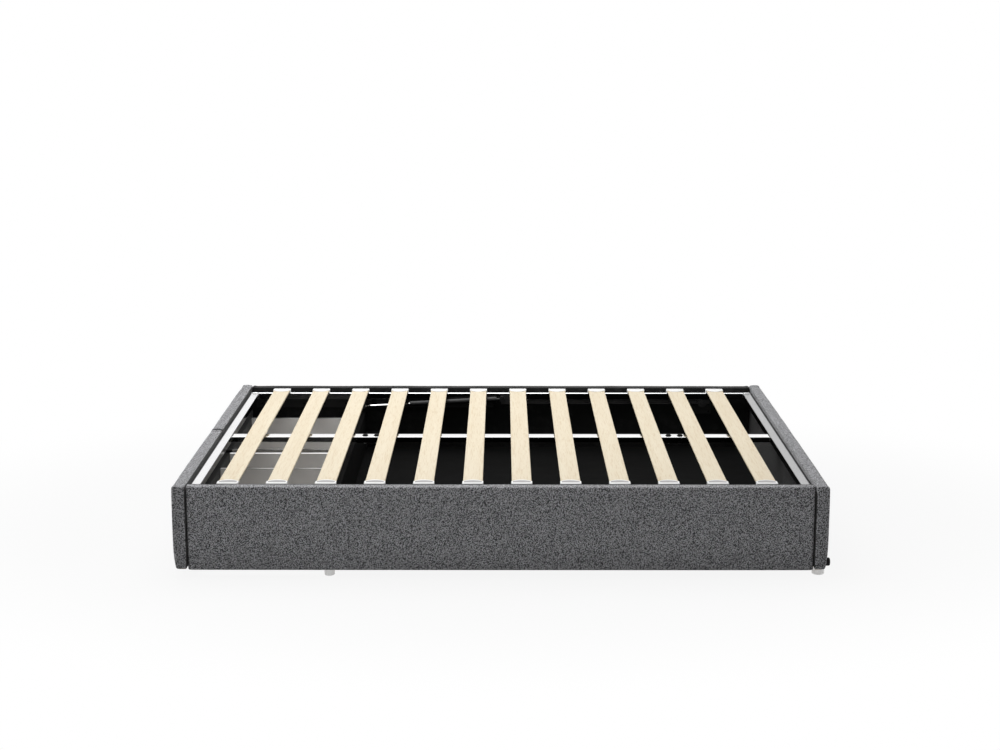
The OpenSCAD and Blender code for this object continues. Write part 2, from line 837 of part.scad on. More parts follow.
piston_l = 15;
piston_play = 0.05;
strut_bore = strut_d - 2 * strut_wall;
neck_d = eye_t - 1;         // a little less than the eye, so that it meets no flat face
neck_l = 12;                // neck past the eye's rim
gland_l = 12;               // seal that guides the rod
end_wall = 6;               // closed end of the cylinder
strut_tail = strut_len - eye_d / 2 - neck_l;    // where the cylinder's tube ends
rod_l = strut_tail - end_wall - rod_room;

module back_strut_rod() {
    color("#dfe3e6") place_back_strut() difference() {
        union() {
            rotate([90, 0, 0]) translate([0, 0, -eye_t / 2]) cylinder(d = eye_d, h = eye_t);
            rotate([0, 90, 0]) cylinder(d = rod_d, h = rod_l);
            rotate([0, 90, 0]) cylinder(d = neck_d, h = eye_d / 2 + neck_l);
            translate([rod_l - piston_l, 0, 0]) rotate([0, 90, 0])
                cylinder(d = strut_bore - 2 * piston_play, h = piston_l);
        }
        rotate([90, 0, 0]) translate([0, 0, -eye_t])
            cylinder(d = stud_d + 2 * pin_play, h = 2 * eye_t);
    }
}

module back_strut_cylinder() {
    stud_gap = 0.5;         // stud ends this far short of the arm's lug
    color("#1b1b1d") place_back_strut() {
        difference() {
            union() {
                translate([rod_shown, 0, 0]) rotate([0, 90, 0])
                    cylinder(d = strut_d, h = strut_tail - rod_shown);
                translate([strut_tail - over, 0, 0]) rotate([0, 90, 0])
                    cylinder(d = neck_d, h = strut_len - strut_tail + over);
                translate([strut_len, 0, 0]) rotate([90, 0, 0])
                    translate([0, 0, -eye_t / 2]) cylinder(d = eye_d, h = eye_t);
            }
            translate([rod_shown - over, 0, 0]) rotate([0, 90, 0])
                cylinder(d = rod_d + 2 * pin_play, h = gland_l + 2 * over);
            translate([rod_shown + gland_l, 0, 0]) rotate([0, 90, 0])
                cylinder(d = strut_bore, h = strut_tail - rod_shown - gland_l - end_wall);
        }
        translate([strut_len, 0, 0]) rotate([-90, 0, 0])
            cylinder(d = stud_d, h = tube_in_y - lug_t - stud_gap - strut_y);
    }
}

module front_strut_rod() { to_front() back_strut_rod(); }
module front_strut_cylinder() { to_front() back_strut_cylinder(); }

// Strut length and slope with the deck fully open
open_head = [
    hinge_x - strut_arm * cos(lift_open) + strut_rise * sin(lift_open),
    hinge_z + strut_arm * sin(lift_open) + strut_rise * cos(lift_open)
];
open_span = open_head - strut_foot;
echo(hinge = [hinge_x, hinge_z], strut_foot = strut_foot, strut_y = strut_y,
    strut_len = strut_len, strut_tilt = strut_tilt,
    stroke = norm(open_span) - strut_len, swing = atan2(open_span[1], open_span[0]) - strut_tilt);

front_rail_board();
front_rail_cover();
back_rail_board();
back_rail_cover();
head_panel_board();
head_panel_cover();
wall_bumpers();
cross_panel();
storage_floor_front();
storage_floor_back();
floor_joist();
floor_cleats();
foot_crossbar();
drawer_divider();
front_runner_board();
back_runner_board();
runner_tracks();
corner_brackets();
frame_bolts();
glide_feet();
rail_ledges();
hinge_plates();
strut_brackets();
slat(1);  // slat_01
slat(2);  // slat_02
slat(3);  // slat_03
slat(4);  // slat_04
slat(5);  // slat_05
slat(6);  // slat_06
slat(7);  // slat_07
slat(8);  // slat_08
slat(9);  // slat_09
slat(10);  // slat_10
slat(11);  // slat_11
slat(12);  // slat_12
front_slat_caps();
back_slat_caps();
front_side_tube();
back_side_tube();
foot_end_tube();
head_end_tube();
center_beam();
beam_bolts();
front_lift_arm();
back_lift_arm();
front_strut_rod();
front_strut_cylinder();
back_strut_rod();
back_strut_cylinder();
front_drawer_board();
front_drawer_cover();
front_drawer_box();
front_drawer_bottom();
front_drawer_slides();
back_drawer_board();
back_drawer_cover();
back_drawer_box();
back_drawer_bottom();
back_drawer_slides();
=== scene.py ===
"""Looks of the upholstered tatami platform bed.

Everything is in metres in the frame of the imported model: +X to the head end, -X to the
drawers, -Y to the front, +Z up, floor at z = 0.
"""
import json
import math

import bpy
import numpy as np
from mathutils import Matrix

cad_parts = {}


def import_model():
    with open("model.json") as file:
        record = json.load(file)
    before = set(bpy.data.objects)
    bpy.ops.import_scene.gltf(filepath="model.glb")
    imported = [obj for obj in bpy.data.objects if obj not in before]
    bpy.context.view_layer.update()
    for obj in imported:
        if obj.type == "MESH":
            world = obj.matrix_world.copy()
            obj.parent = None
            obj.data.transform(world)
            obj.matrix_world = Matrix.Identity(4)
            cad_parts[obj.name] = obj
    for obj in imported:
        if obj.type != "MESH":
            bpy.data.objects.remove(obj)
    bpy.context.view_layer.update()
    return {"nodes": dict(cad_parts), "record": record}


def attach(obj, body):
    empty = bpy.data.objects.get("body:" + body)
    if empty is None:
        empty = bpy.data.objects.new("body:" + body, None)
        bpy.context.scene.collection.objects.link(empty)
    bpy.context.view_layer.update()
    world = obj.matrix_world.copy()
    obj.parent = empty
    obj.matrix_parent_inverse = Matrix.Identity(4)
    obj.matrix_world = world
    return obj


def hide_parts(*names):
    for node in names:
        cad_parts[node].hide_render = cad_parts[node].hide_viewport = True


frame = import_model()
NODES = frame["nodes"]
RECORD = frame["record"]

MM = 0.001

# ---- Sizes of the bed, in millimetres ----

MID_X = -4.5
FOOT_X, HEAD_X = -1025.5, 1016.5        # inner faces of the drawer fronts and head panel
SIDE_Y = 767.0                          # inner face of a side rail
OUT_Y = 813.0                           # outer face of a side rail
RAIL_Z, END_Z = 25.0, 31.0              # undersides of the rails and of the end panels
RAIL_H, END_H = 283.0, 279.0
RAIL_L = 2038.0
PAD_T = 46.0                            # thickness of an upholstered panel
BOARD_IN, BOARD_OUT = 2.0, 24.0         # the board's two faces within that thickness
TOP_PAD = 6.0                           # padding over the board's top edge
END_WRAP = 3.0                          # fabric over the board's ends
FRONT_L = 811.0                         # length of one drawer front
FRONT_Y = 407.5                         # its middle

DECK_TOP, DECK_BOTTOM = 293.0, 267.0
DECK_Y, TUBE_IN_Y = 757.0, 727.0
DECK_FOOT_X, DECK_HEAD_X = -1018.5, 1009.5
TUBE_W = 30.0
BEAM_HALF = 25.0
BEAM_TOP, BEAM_BOTTOM = 287.0, 267.0
JOINT_PLATE = 3.0                       # plate under a joint of the beam
SLAT_X = -895.5 + 160.0 * np.arange(12)
SLAT_W = 65.0
BEAM_BOLT_X = [-501.5, -459.5, 610.5, 652.5]

HINGE = (815.5, 251.0)
STRUT_FOOT = (-564.5, 241.0)
STORE_X = -555.5                        # storage box's face of the cross panel
BRACKET_Z, BRACKET_T = 69.0, 3.0        # corner brackets' underside and thickness
BRACKET_HOLES = (13.75, 41.25)          # their bolts above that underside
BRACKET_REACH = 32.0                    # and how far these lie from the corner
LEDGE_RUNS = [(-1005.5, -614.5), (-514.5, -34.5)]
LEDGE_SCREW_Z, LEDGE_T = 241.0, 3.5
PLATE_T = 4.0                           # hinge plates and strut brackets
BOX_TOP, BOX_FRONT_X = 227.0, -995.5    # drawer boxes' rims and their inner front walls
BOX_INNER_Y = -100.0                    # the front box's inner wall is nearer than this


# ---- Meshes ----

def mesh_object(name, points, faces, uv=None):
    """A smooth mesh object from points in millimetres, (n, 3), and quads, (m, 4), whose
    last two corners may agree. All faces are turned round where the signed volume
    sum(a . (b x c)) over their triangles is negative, so that they point outwards."""
    points = np.asarray(points, float) * MM
    faces = np.asarray(faces, int)
    a, b, c, d = (points[faces[:, k]] for k in range(4))
    middle = points.mean(axis=0)
    volume = np.einsum("ij,ij->i", a - middle, np.cross(b - middle, c - middle)).sum()
    volume += np.einsum("ij,ij->i", a - middle, np.cross(c - middle, d - middle)).sum()
    if volume < 0:
        doubled = faces[:, 2:3] == faces[:, 3:]
        faces = np.where(doubled, faces[:, [2, 1, 0, 0]], faces[:, ::-1])
    quads = faces[faces[:, 2] != faces[:, 3]]
    tris = faces[faces[:, 2] == faces[:, 3]][:, :3]
    mesh = bpy.data.meshes.new(name)
    mesh.from_pydata(points.tolist(), [], quads.tolist() + tris.tolist())
    if uv is not None:
        corner = np.concatenate([quads.ravel(), tris.ravel()])
        layer = mesh.uv_layers.new(name="cloth")
        layer.data.foreach_set("uv", (uv[corner] * MM).astype(np.float32).ravel())
    mesh.polygons.foreach_set("use_smooth", [True] * len(mesh.polygons))
    mesh.update()
    return linked(name, mesh)


def linked(name, data):
    """An object for a mesh, lamp or camera, put into the scene."""
    obj = bpy.data.objects.new(name, data)
    bpy.context.scene.collection.objects.link(obj)
    return obj


def grid_faces(rows, columns, ringed=True):
    """Quads of a grid of rows x columns points, whose rows may be closed rings."""
    i = np.arange(rows - 1)[:, None] * columns
    j = np.arange(columns if ringed else columns - 1)[None, :]
    k = (j + 1) % columns
    return np.stack([i + j, i + k, i + columns + k, i + columns + j], axis=-1).reshape(-1, 4)


def pole_faces(ring, pole, turn):
    """Triangles, as quads with a doubled last corner, that close a ring onto one point."""
    ring = np.asarray(ring)
    following = np.roll(ring, -1)
    pole = np.full(len(ring), pole)
    sides = (following, ring) if turn else (ring, following)
    return np.stack([sides[0], sides[1], pole, pole], axis=-1)


def closed_tube(rings):
    """Points and faces of rings, (rows, columns, 3), closed at both ends onto their middles."""
    rows, columns = rings.shape[:2]
    points = np.concatenate([rings.reshape(-1, 3), rings[:1].mean(axis=1),
                             rings[-1:].mean(axis=1)])
    last = (rows - 1) * columns
    faces = np.concatenate([
        grid_faces(rows, columns),
        pole_faces(np.arange(columns), rows * columns, True),
        pole_faces(last + np.arange(columns), rows * columns + 1, False)])
    return points, faces


def repeated(points, faces, places):
    """Copies of one shape at places, (k, 3), as one set of points and faces."""
    places = np.asarray(places, float)
    count = len(points)
    many = (points[None] + places[:, None]).reshape(-1, 3)
    return many, (faces[None] + (np.arange(len(places)) * count)[:, None, None]).reshape(-1, 4)


def joined(parts):
    """Several (points, faces) pairs as one."""
    points, faces = zip(*parts)
    starts = np.cumsum([0] + [len(some) for some in points[:-1]])
    return np.concatenate(points), np.concatenate([f + k for f, k in zip(faces, starts)])


def turned(points, forward):
    """Points drawn with their axis along +Z, carried round so that it lies along forward."""
    axis = np.asarray(forward, float)
    side = np.cross([0.0, 0.0, 1.0], axis)
    if not side.any():
        side = np.array([1.0, 0.0, 0.0])
    side = side / np.linalg.norm(side)
    return points @ np.array([side, np.cross(axis, side), axis])


def dress(obj, material):
    """Makes a material the only one of a piece or node."""
    obj.data.materials.clear()
    obj.data.materials.append(material)


def finish(obj, slot, body, *nodes):
    """Gives a piece the material of its slot and its body, and hides the nodes that it
    replaces."""
    dress(obj, MATERIALS[slot])
    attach(obj, body)
    if nodes:
        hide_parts(*nodes)


# ---- Node trees ----

def feed(tree, sockets, inputs):
    """Values or links for a node's named sockets."""
    for key, value in inputs.items():
        if isinstance(value, bpy.types.NodeSocket):
            tree.links.new(value, sockets[key])
        else:
            sockets[key].default_value = value


def node(tree, kind, inputs=None, **settings):
    """Adds a node, with its settings, and values or links for its named inputs."""
    made = tree.nodes.new(kind)
    for key, value in settings.items():
        setattr(made, key, value)
    feed(tree, made.inputs, inputs or {})
    return made


def calc(tree, operation, a, b=0.0, c=0.0, clamp=False):
    """One Math node's result."""
    return node(tree, "ShaderNodeMath", {0: a, 1: b, 2: c}, operation=operation,
                use_clamp=clamp).outputs[0]


def mixed(tree, factor, a, b):
    """One colour mix's result."""
    return node(tree, "ShaderNodeMix", {0: factor, 6: a, 7: b}, data_type="RGBA",
                clamp_factor=True).outputs[2]


def spread(tree, value, low, high, to_low=0.0, to_high=1.0):
    """A value's range low to high carried smoothly onto another range."""
    return node(tree, "ShaderNodeMapRange", {0: value, 1: low, 2: high, 3: to_low, 4: to_high},
                interpolation_type="SMOOTHSTEP").outputs[0]


def stretched(tree, vector, scale, turn=(0.0, 0.0, 0.0), shift=(0.0, 0.0, 0.0)):
    """A pattern's coordinates, scaled along each axis."""
    return node(tree, "ShaderNodeMapping",
                {"Vector": vector, "Scale": scale, "Rotation": turn,
                 "Location": shift}).outputs[0]


def noise(tree, vector, scale=1.0, detail=2.0, rough=0.5):
    """A noise pattern's value."""
    return node(tree, "ShaderNodeTexNoise",
                {"Vector": vector, "Scale": scale, "Detail": detail,
                 "Roughness": rough}).outputs[0]


def group(name, inputs, outputs):
    """A node group with named inputs and outputs, {name: kind}. Each material that places
    it gives every input."""
    tree = bpy.data.node_groups.new(name, "ShaderNodeTree")
    for way, sockets in (("INPUT", inputs), ("OUTPUT", outputs)):
        for label, kind in sockets.items():
            tree.interface.new_socket(name=label, in_out=way, socket_type="NodeSocket" + kind)
    return tree, tree.nodes.new("NodeGroupInput").outputs, \
        tree.nodes.new("NodeGroupOutput").inputs


def placed(tree, made, inputs):
    """The outputs of a node group placed in a material."""
    return node(tree, "ShaderNodeGroup", inputs, node_tree=made).outputs


def woven_cloth():
    """Plain weave on a map in metres. With u and v counted in yarns, the crossing is
    sin(pi u) sin(pi v): where it is positive the yarn along v lies on top, elsewhere the
    yarn along u. Each yarn has a noise of its own, drawn out along it, for its flecks, and
    a fine noise at the place Here gives the heather's speckle."""
    tree, given, out = group("woven cloth", {
        "Vector": "Vector", "Here": "Vector", "Pitch": "Float", "Dark": "Color",
        "Light": "Color", "Mottle": "Float"}, {"Color": "Color", "Height": "Float"})
    yarns = node(tree, "ShaderNodeVectorMath",
                 {0: given["Vector"], 1: calc(tree, "DIVIDE", 1.0, given["Pitch"])},
                 operation="MULTIPLY").outputs[0]
    parts = node(tree, "ShaderNodeSeparateXYZ", {0: yarns}).outputs
    wave = [calc(tree, "SINE", calc(tree, "MULTIPLY", parts[k], math.pi)) for k in (0, 1)]
    on_top = calc(tree, "MULTIPLY_ADD", calc(tree, "MULTIPLY", wave[0], wave[1]), 1.6, 0.5, True)
    round_u, round_v = (calc(tree, "ABSOLUTE", w) for w in wave)
    along_u = noise(tree, stretched(tree, yarns, (0.4, 1.0, 1)), detail=2.0, rough=0.7)
    along_v = noise(tree, stretched(tree, yarns, (1.0, 0.4, 1), shift=(31, 7, 0)),
                    detail=2.0, rough=0.7)
    askew = stretched(tree, given["Here"], (1, 1, 1), (0.6, 0.4, 0.9))
    speck = spread(tree, noise(tree, askew, 330.0, 1.0, 0.6), 0.48, 0.52)
    fleck = node(tree, "ShaderNodeMix", {0: on_top, 2: along_u, 3: along_v}).outputs[0]
    height = node(tree, "ShaderNodeMix", {0: on_top, 2: round_v, 3: round_u}).outputs[0]
    blotch = noise(tree, given["Vector"], 55.0, 3.0, 0.6)
    tone = calc(tree, "ADD", calc(tree, "MULTIPLY", spread(tree, fleck, 0.40, 0.60), 0.12), calc(
        tree, "MULTIPLY", calc(tree, "SUBTRACT", blotch, 0.5), given["Mottle"]))
    tone = calc(tree, "MULTIPLY_ADD", speck, 0.88, tone)
    # Darker where the yarns fall away: a painted shade in the weave's hollows.
    tone = calc(tree, "MULTIPLY", tone, spread(tree, height, 0.0, 0.7, 0.72, 1.0), clamp=True)
    feed(tree, out, {"Color": mixed(tree, tone, given["Dark"], given["Light"]),
                     "Height": height})
    return tree


def wood_grain():
    """Sawn timber on coordinates already drawn out along the grain: slow bands from one
    noise, and short fine flecks where a second, finer noise passes a threshold."""
    tree, given, out = group("wood grain", {
        "Vector": "Vector", "Light": "Color", "Dark": "Color", "Bands": "Float",
        "Flecks": "Float"}, {"Color": "Color", "Height": "Float", "Mask": "Float"})
    bands = noise(tree, given["Vector"], 1.0, 5.0, 0.6)
    fine = noise(tree, stretched(tree, given["Vector"], (9, 9, 9)), 1.0, 2.0, 0.6)
    fleck = calc(tree, "MULTIPLY", spread(tree, fine, 0.50, 0.66), given["Flecks"])
    slow = calc(tree, "MULTIPLY", spread(tree, bands, 0.3, 0.75), given["Bands"])
    mask = calc(tree, "ADD", fleck, slow, clamp=True)
    feed(tree, out, {"Color": mixed(tree, mask, given["Light"], given["Dark"]),
                     "Height": calc(tree, "SUBTRACT", 1.0, fleck), "Mask": mask})
    return tree


def coat_skin():
    """Sprayed or moulded skin: an even colour with a faint slow change, the small soft
    bumps of orange peel as height, and a roughness that changes with the same noise."""
    tree, given, out = group("coat skin", {
        "Vector": "Vector", "Color": "Color", "Grain": "Float", "Uneven": "Float",
        "Rough": "Float"}, {"Color": "Color", "Roughness": "Float", "Height": "Float"})
    slow = calc(tree, "SUBTRACT", noise(tree, given["Vector"], 7.0, 3.0, 0.6), 0.5)
    peel = noise(tree, given["Vector"], given["Grain"], 1.0)
    shade = calc(tree, "MULTIPLY", slow, given["Uneven"])
    factor = calc(tree, "MULTIPLY_ADD", shade, 2.0, 1.0)
    colour = node(tree, "ShaderNodeVectorMath", {0: given["Color"], 1: factor},
                  operation="MULTIPLY").outputs[0]
    rough = calc(tree, "MULTIPLY_ADD", slow, 0.25, given["Rough"], True)
    feed(tree, out, {"Color": colour, "Roughness": rough, "Height": peel})
    return tree


def light_wear():
    """Dust and rubbed places: soft patches of dust from a slow noise, and thin scratches
    where two drawn-out noises are near their middle value."""
    tree, given, out = group("light wear", {
        "Vector": "Vector", "Color": "Color", "Worn": "Color", "Dust": "Float",
        "Scratches": "Float"}, {"Color": "Color", "Mask": "Float"})
    dust = calc(tree, "MULTIPLY", spread(tree, noise(tree, given["Vector"], 11.0, 5.0, 0.65),
                                         0.45, 0.75), given["Dust"])
    lines = []
    for turn, shift in (((0, 0, 0.5), (3, 1, 2)), ((0.4, 0.3, -0.7), (8, 5, 1))):
        thin = noise(tree, stretched(tree, given["Vector"], (14, 160, 40), turn, shift))
        gap = calc(tree, "ABSOLUTE", calc(tree, "SUBTRACT", thin, 0.5))
        lines.append(calc(tree, "SUBTRACT", 1.0, spread(tree, gap, 0.0, 0.012)))
    patchy = spread(tree, noise(tree, given["Vector"], 6.0, 2.0), 0.5, 0.7)
    scratch = calc(tree, "MULTIPLY", calc(tree, "MAXIMUM", *lines), patchy)
    mask = calc(tree, "ADD", dust, calc(tree, "MULTIPLY", scratch, given["Scratches"]),
                clamp=True)
    feed(tree, out, {"Color": mixed(tree, mask, given["Color"], given["Worn"]), "Mask": mask})
    return tree


CLOTH, GRAIN, COAT, WEAR = woven_cloth(), wood_grain(), coat_skin(), light_wear()


def object_place(tree):
    """The object's coordinates, in metres."""
    return node(tree, "ShaderNodeTexCoord").outputs["Object"]


def marked(tree, name):
    """The number that a piece carries at each point under a name."""
    return node(tree, "ShaderNodeAttribute", attribute_name=name).outputs["Fac"]


def new_material(name, **plain):
    """A material with its tree, its shader and the object's coordinates. The plain values
    stay on the shader's own sockets."""
    material = bpy.data.materials.new(name)
    material.use_nodes = True
    tree = material.node_tree
    shader = tree.nodes["Principled BSDF"]
    for key, value in plain.items():
        shader.inputs[key.replace("_", " ")].default_value = value
    return material, tree, shader, object_place(tree)


def coat_colour(material):
    """A coated material's tree, its shader, the colour that feeds the shader, and the
    place's x, y and z in metres."""
    tree = material.node_tree
    shader = tree.nodes["Principled BSDF"]
    place = node(tree, "ShaderNodeSeparateXYZ", {0: object_place(tree)}).outputs
    return tree, shader, shader.inputs["Base Color"].links[0].from_socket, place


def bump(tree, shader, height, distance, strength=1.0):
    """A Bump node on the shader's normal; distance is in metres."""
    made = node(tree, "ShaderNodeBump",
                {"Height": height, "Distance": distance, "Strength": strength})
    tree.links.new(made.outputs[0], shader.inputs["Normal"])


def weathered(tree, shader, here, colour, worn, dust, scratches):
    """Links a colour under light wear to the shader, and returns the wear's mask."""
    made = placed(tree, WEAR, {"Vector": here, "Color": colour, "Worn": worn, "Dust": dust,
                               "Scratches": scratches})
    tree.links.new(made["Color"], shader.inputs["Base Color"])
    return made["Mask"]


def grey(value, tint=(1, 1, 1)):
    """A grey, slightly tinted, as a colour."""
    return (*(value * part for part in tint), 1)


def cover_fabric():
    """Heather grey cloth on the piece's own map. Where the attribute lining_and_shade is 1 the
    cloth is near black: partly a real dark liner, partly painted shade that also reaches over
    the rails' tops. Where the attribute seam_shade is 1 it is dark too: painted shade at the
    rails' ends and in the crease where the drawer fronts meet."""
    material, tree, shader, here = new_material(
        "heather cover fabric", Roughness=0.96, Sheen_Weight=0.25, Sheen_Roughness=0.5,
        Specular_IOR_Level=0.2)
    flat = node(tree, "ShaderNodeUVMap", uv_map="cloth").outputs[0]
    cloth = placed(tree, CLOTH, {"Vector": flat, "Here": here, "Pitch": 0.0026,
                                 "Mottle": 0.15, "Dark": grey(0.0),
                                 "Light": grey(0.76, (0.99, 0.99, 1.03))})
    # Near black on the dark liner and its painted shade, and dark in the painted seam shade.
    lined_and_shaded = spread(tree, marked(tree, "lining_and_shade"), 0.25, 0.35)
    seam_shade_share = calc(tree, "MULTIPLY", marked(tree, "seam_shade"), 0.85)
    seam_shaded = mixed(tree, seam_shade_share, cloth["Color"], grey(0.02))
    colour = mixed(tree, lined_and_shaded, seam_shaded, grey(0.003))
    weathered(tree, shader, here, colour, grey(0.45), 0.05, 0.0)
    bump(tree, shader, cloth["Height"], 0.0009, 1.0)
    return material


def timber(name, light, dark, scale, rough, bands=0.5, flecks=0.5):
    """Wood whose grain is drawn out along the axis with the smallest scale."""
    material, tree, shader, here = new_material(name, Specular_IOR_Level=0.35)
    grain = placed(tree, GRAIN, {"Vector": stretched(tree, here, scale), "Light": light,
                                 "Dark": dark, "Bands": bands, "Flecks": flecks})
    weathered(tree, shader, here, grain["Color"], dark, 0.03, 0.05)
    tree.links.new(calc(tree, "MULTIPLY_ADD", grain["Mask"], 0.18, rough, True),
                   shader.inputs["Roughness"])
    bump(tree, shader, grain["Height"], 0.0002, 0.6)
    return material


def coated(name, colour, rough, worn, dust=0.06, scratches=0.12, grain=900.0, uneven=0.05,
           depth=0.00005, **plain):
    """Painted metal, laminate or moulded plastic: coat skin under light wear."""
    material, tree, shader, here = new_material(name, **plain)
    skin = placed(tree, COAT, {"Vector": here, "Color": colour, "Rough": rough,
                               "Grain": grain, "Uneven": uneven})
    mask = weathered(tree, shader, here, skin["Color"], worn, dust, scratches)
    tree.links.new(calc(tree, "MULTIPLY_ADD", mask, 0.3, skin["Roughness"], True),
                   shader.inputs["Roughness"])
    bump(tree, shader, skin["Height"], depth, 0.5)
    return material


def cap_plastic():
    """White moulded plastic. On the front caps the recessed lens, marked by the attribute lens,
    is grey: a painted shade in the recess, left white on the back caps."""
    material = coated("slat cap plastic", grey(0.93, (1, 1, 0.99)), 0.35, grey(0.7), 0.03, 0.05)
    tree, shader, white, place = coat_colour(material)
    # Painted shade in the front caps' lenses.
    lens = calc(tree, "MULTIPLY", marked(tree, "lens"),
                calc(tree, "LESS_THAN", place[1], 0.0))
    tree.links.new(mixed(tree, lens, white, grey(0.34, (1, 0.95, 0.96))),
                   shader.inputs["Base Color"])
    return material


def drawer_laminate():
    """Light grey laminate with an edge band on the boxes' rims: white on the front drawer's
    inner wall, where a painted glow also stands in for the light that the beam's shadow
    takes away, grey on the rest of that drawer and darker on the back one. The boxes' inner
    front walls, nearer the foot end than BOX_FRONT_X, are black."""
    # Its emission is the painted glow on the front drawer's inner rim.
    material = coated("drawer laminate", grey(0.74, (1, 0.985, 0.97)), 0.6, grey(0.8), 0.12,
                      0.08, 500.0, 0.12, Emission_Strength=0.6)
    tree, shader, board, place = coat_colour(material)
    rim = calc(tree, "GREATER_THAN", place[2], (BOX_TOP - 1.2) * MM)
    front_box = calc(tree, "LESS_THAN", place[1], 0.0)
    inner = calc(tree, "MULTIPLY", front_box,
                 calc(tree, "GREATER_THAN", place[1], BOX_INNER_Y * MM))
    band = mixed(tree, inner, mixed(tree, front_box, grey(0.26), grey(0.40)), grey(0.95))
    front_wall = calc(tree, "LESS_THAN", place[0], (BOX_FRONT_X + 0.5) * MM)
    # Painted glow on the inner wall's rim, where the beam's shadow falls.
    glow = calc(tree, "MULTIPLY", calc(tree, "MULTIPLY", rim, inner),
                calc(tree, "SUBTRACT", 1.0, front_wall))
    tree.links.new(mixed(tree, glow, grey(0.0), grey(1.0)), shader.inputs["Emission Color"])
    edged = mixed(tree, rim, board, band)
    tree.links.new(mixed(tree, front_wall, edged, grey(0.012)), shader.inputs["Base Color"])
    return material


INNER_SIDE = 999.5, 742.0   # deck tubes' inner sides lie nearer the bed's middle, in x and y


def deck_steel(name, colour, rough, top, edge=3.0):
    """Bright coated steel. Its faces towards the bed's middle are dark from edge millimetres
    below its top, which is at the height top: painted shade on those sides."""
    material = coated(name, colour, rough, grey(0.5), Metallic=1.0)
    tree, shader, bright, place = coat_colour(material)
    # Painted shade on the faces towards the bed's middle.
    side = spread(tree, place[2], (top - edge) * MM, (top - edge + 0.9) * MM, 1.0, 0.0)
    for k, middle in ((0, MID_X * MM), (1, 0.0)):
        away = calc(tree, "ABSOLUTE", calc(tree, "SUBTRACT", place[k], middle))
        side = calc(tree, "MULTIPLY", side,
                    calc(tree, "LESS_THAN", away, INNER_SIDE[k] * MM))
    tree.links.new(mixed(tree, side, bright, grey(0.06)), shader.inputs["Base Color"])
    return material


def bolt_metal():
    """Black screw metal whose nuts, marked by the attribute bright, are zinc plated."""
    material = coated("bolt metal", grey(0.006), 0.6, grey(0.05), 0.05, 0.2,
                      Specular_IOR_Level=0.15)
    tree, shader, dark, _ = coat_colour(material)
    bright = marked(tree, "bright")
    tree.links.new(mixed(tree, bright, dark, grey(0.55)), shader.inputs["Base Color"])
    tree.links.new(bright, shader.inputs["Metallic"])
    return material


MATERIALS = {
    "cover_fabric": cover_fabric(),
    "board_wood": timber("inner board", (0.52, 0.37, 0.21, 1), (0.33, 0.2, 0.1, 1),
                         (40, 40, 220), 0.75),
    "slat_wood": timber("birch slat", (0.80, 0.71, 0.54, 1), (0.60, 0.46, 0.28, 1),
                        (42, 2.0, 42), 0.5, 0.2, 0.38),
    "cap_plastic": cap_plastic(),
    "deck_steel": deck_steel("deck steel", grey(0.88, (0.99, 1, 1.01)), 0.12, DECK_TOP),
    "black_steel": coated("black powder coat", grey(0.022), 0.6, grey(0.10), 0.10, 0.15,
                          Specular_IOR_Level=0.25),
    "black_board": coated("black laminate", grey(0.006), 0.8, grey(0.02), 0.10, 0.06, 400.0,
                          Specular_IOR_Level=0.05),
    "drawer_board": drawer_laminate(),
    # The feet glow white a little: a painted glow that stands in for light under the rails.
    "foot_plastic": coated("foot plastic with painted glow", grey(0.95, (1, 1, 0.985)), 0.35, grey(0.6),
                           Emission_Color=grey(1.0), Emission_Strength=0.28),
    "bumper_rubber": coated("bumper rubber", grey(0.006), 0.75, grey(0.03), 0.10, 0.1, 1400.0,
                            Specular_IOR_Level=0.15),
    "runner_steel": coated("zinc runner", grey(0.62, (0.98, 1, 1.02)), 0.35, grey(0.4),
                           0.1, 0.4, 300.0, 0.15, Metallic=1.0),
    "bolt_steel": bolt_metal(),
    "strut_chrome": coated("strut chrome", grey(0.85), 0.08, grey(0.6), 0.05, 0.25, 200.0,
                           0.02, 0.000005, Metallic=1.0),
    "strut_black": coated("strut black", grey(0.010), 0.4, grey(0.06), 0.06, 0.15, 500.0,
                          0.05, 0.00001, Specular_IOR_Level=0.3),
}
ARM_STEEL = coated("lift arm coat", grey(0.05), 0.35, grey(0.12), Metallic=0.5)
# The head end tube's darker grey is a painted dimmer reflection than the foot end tube's; all
# deck steel carries the painted shade on its inner sides.
OWN_FINISH = {
    "foot_end_tube": deck_steel("foot end steel", grey(0.88), 0.15, DECK_TOP),
    "head_end_tube": deck_steel("head end steel painted dim", grey(0.36), 0.2, DECK_TOP),
    "center_beam": deck_steel("beam steel", grey(0.92), 0.12, BEAM_TOP, 1.0),
    "front_lift_arm": ARM_STEEL,
    "back_lift_arm": ARM_STEEL}

for part in RECORD["subparts"]:
    dress(NODES[part["node"]],
          OWN_FINISH.get(part["node"], MATERIALS[part["material_slot"]]))


# ---- Upholstered covers ----

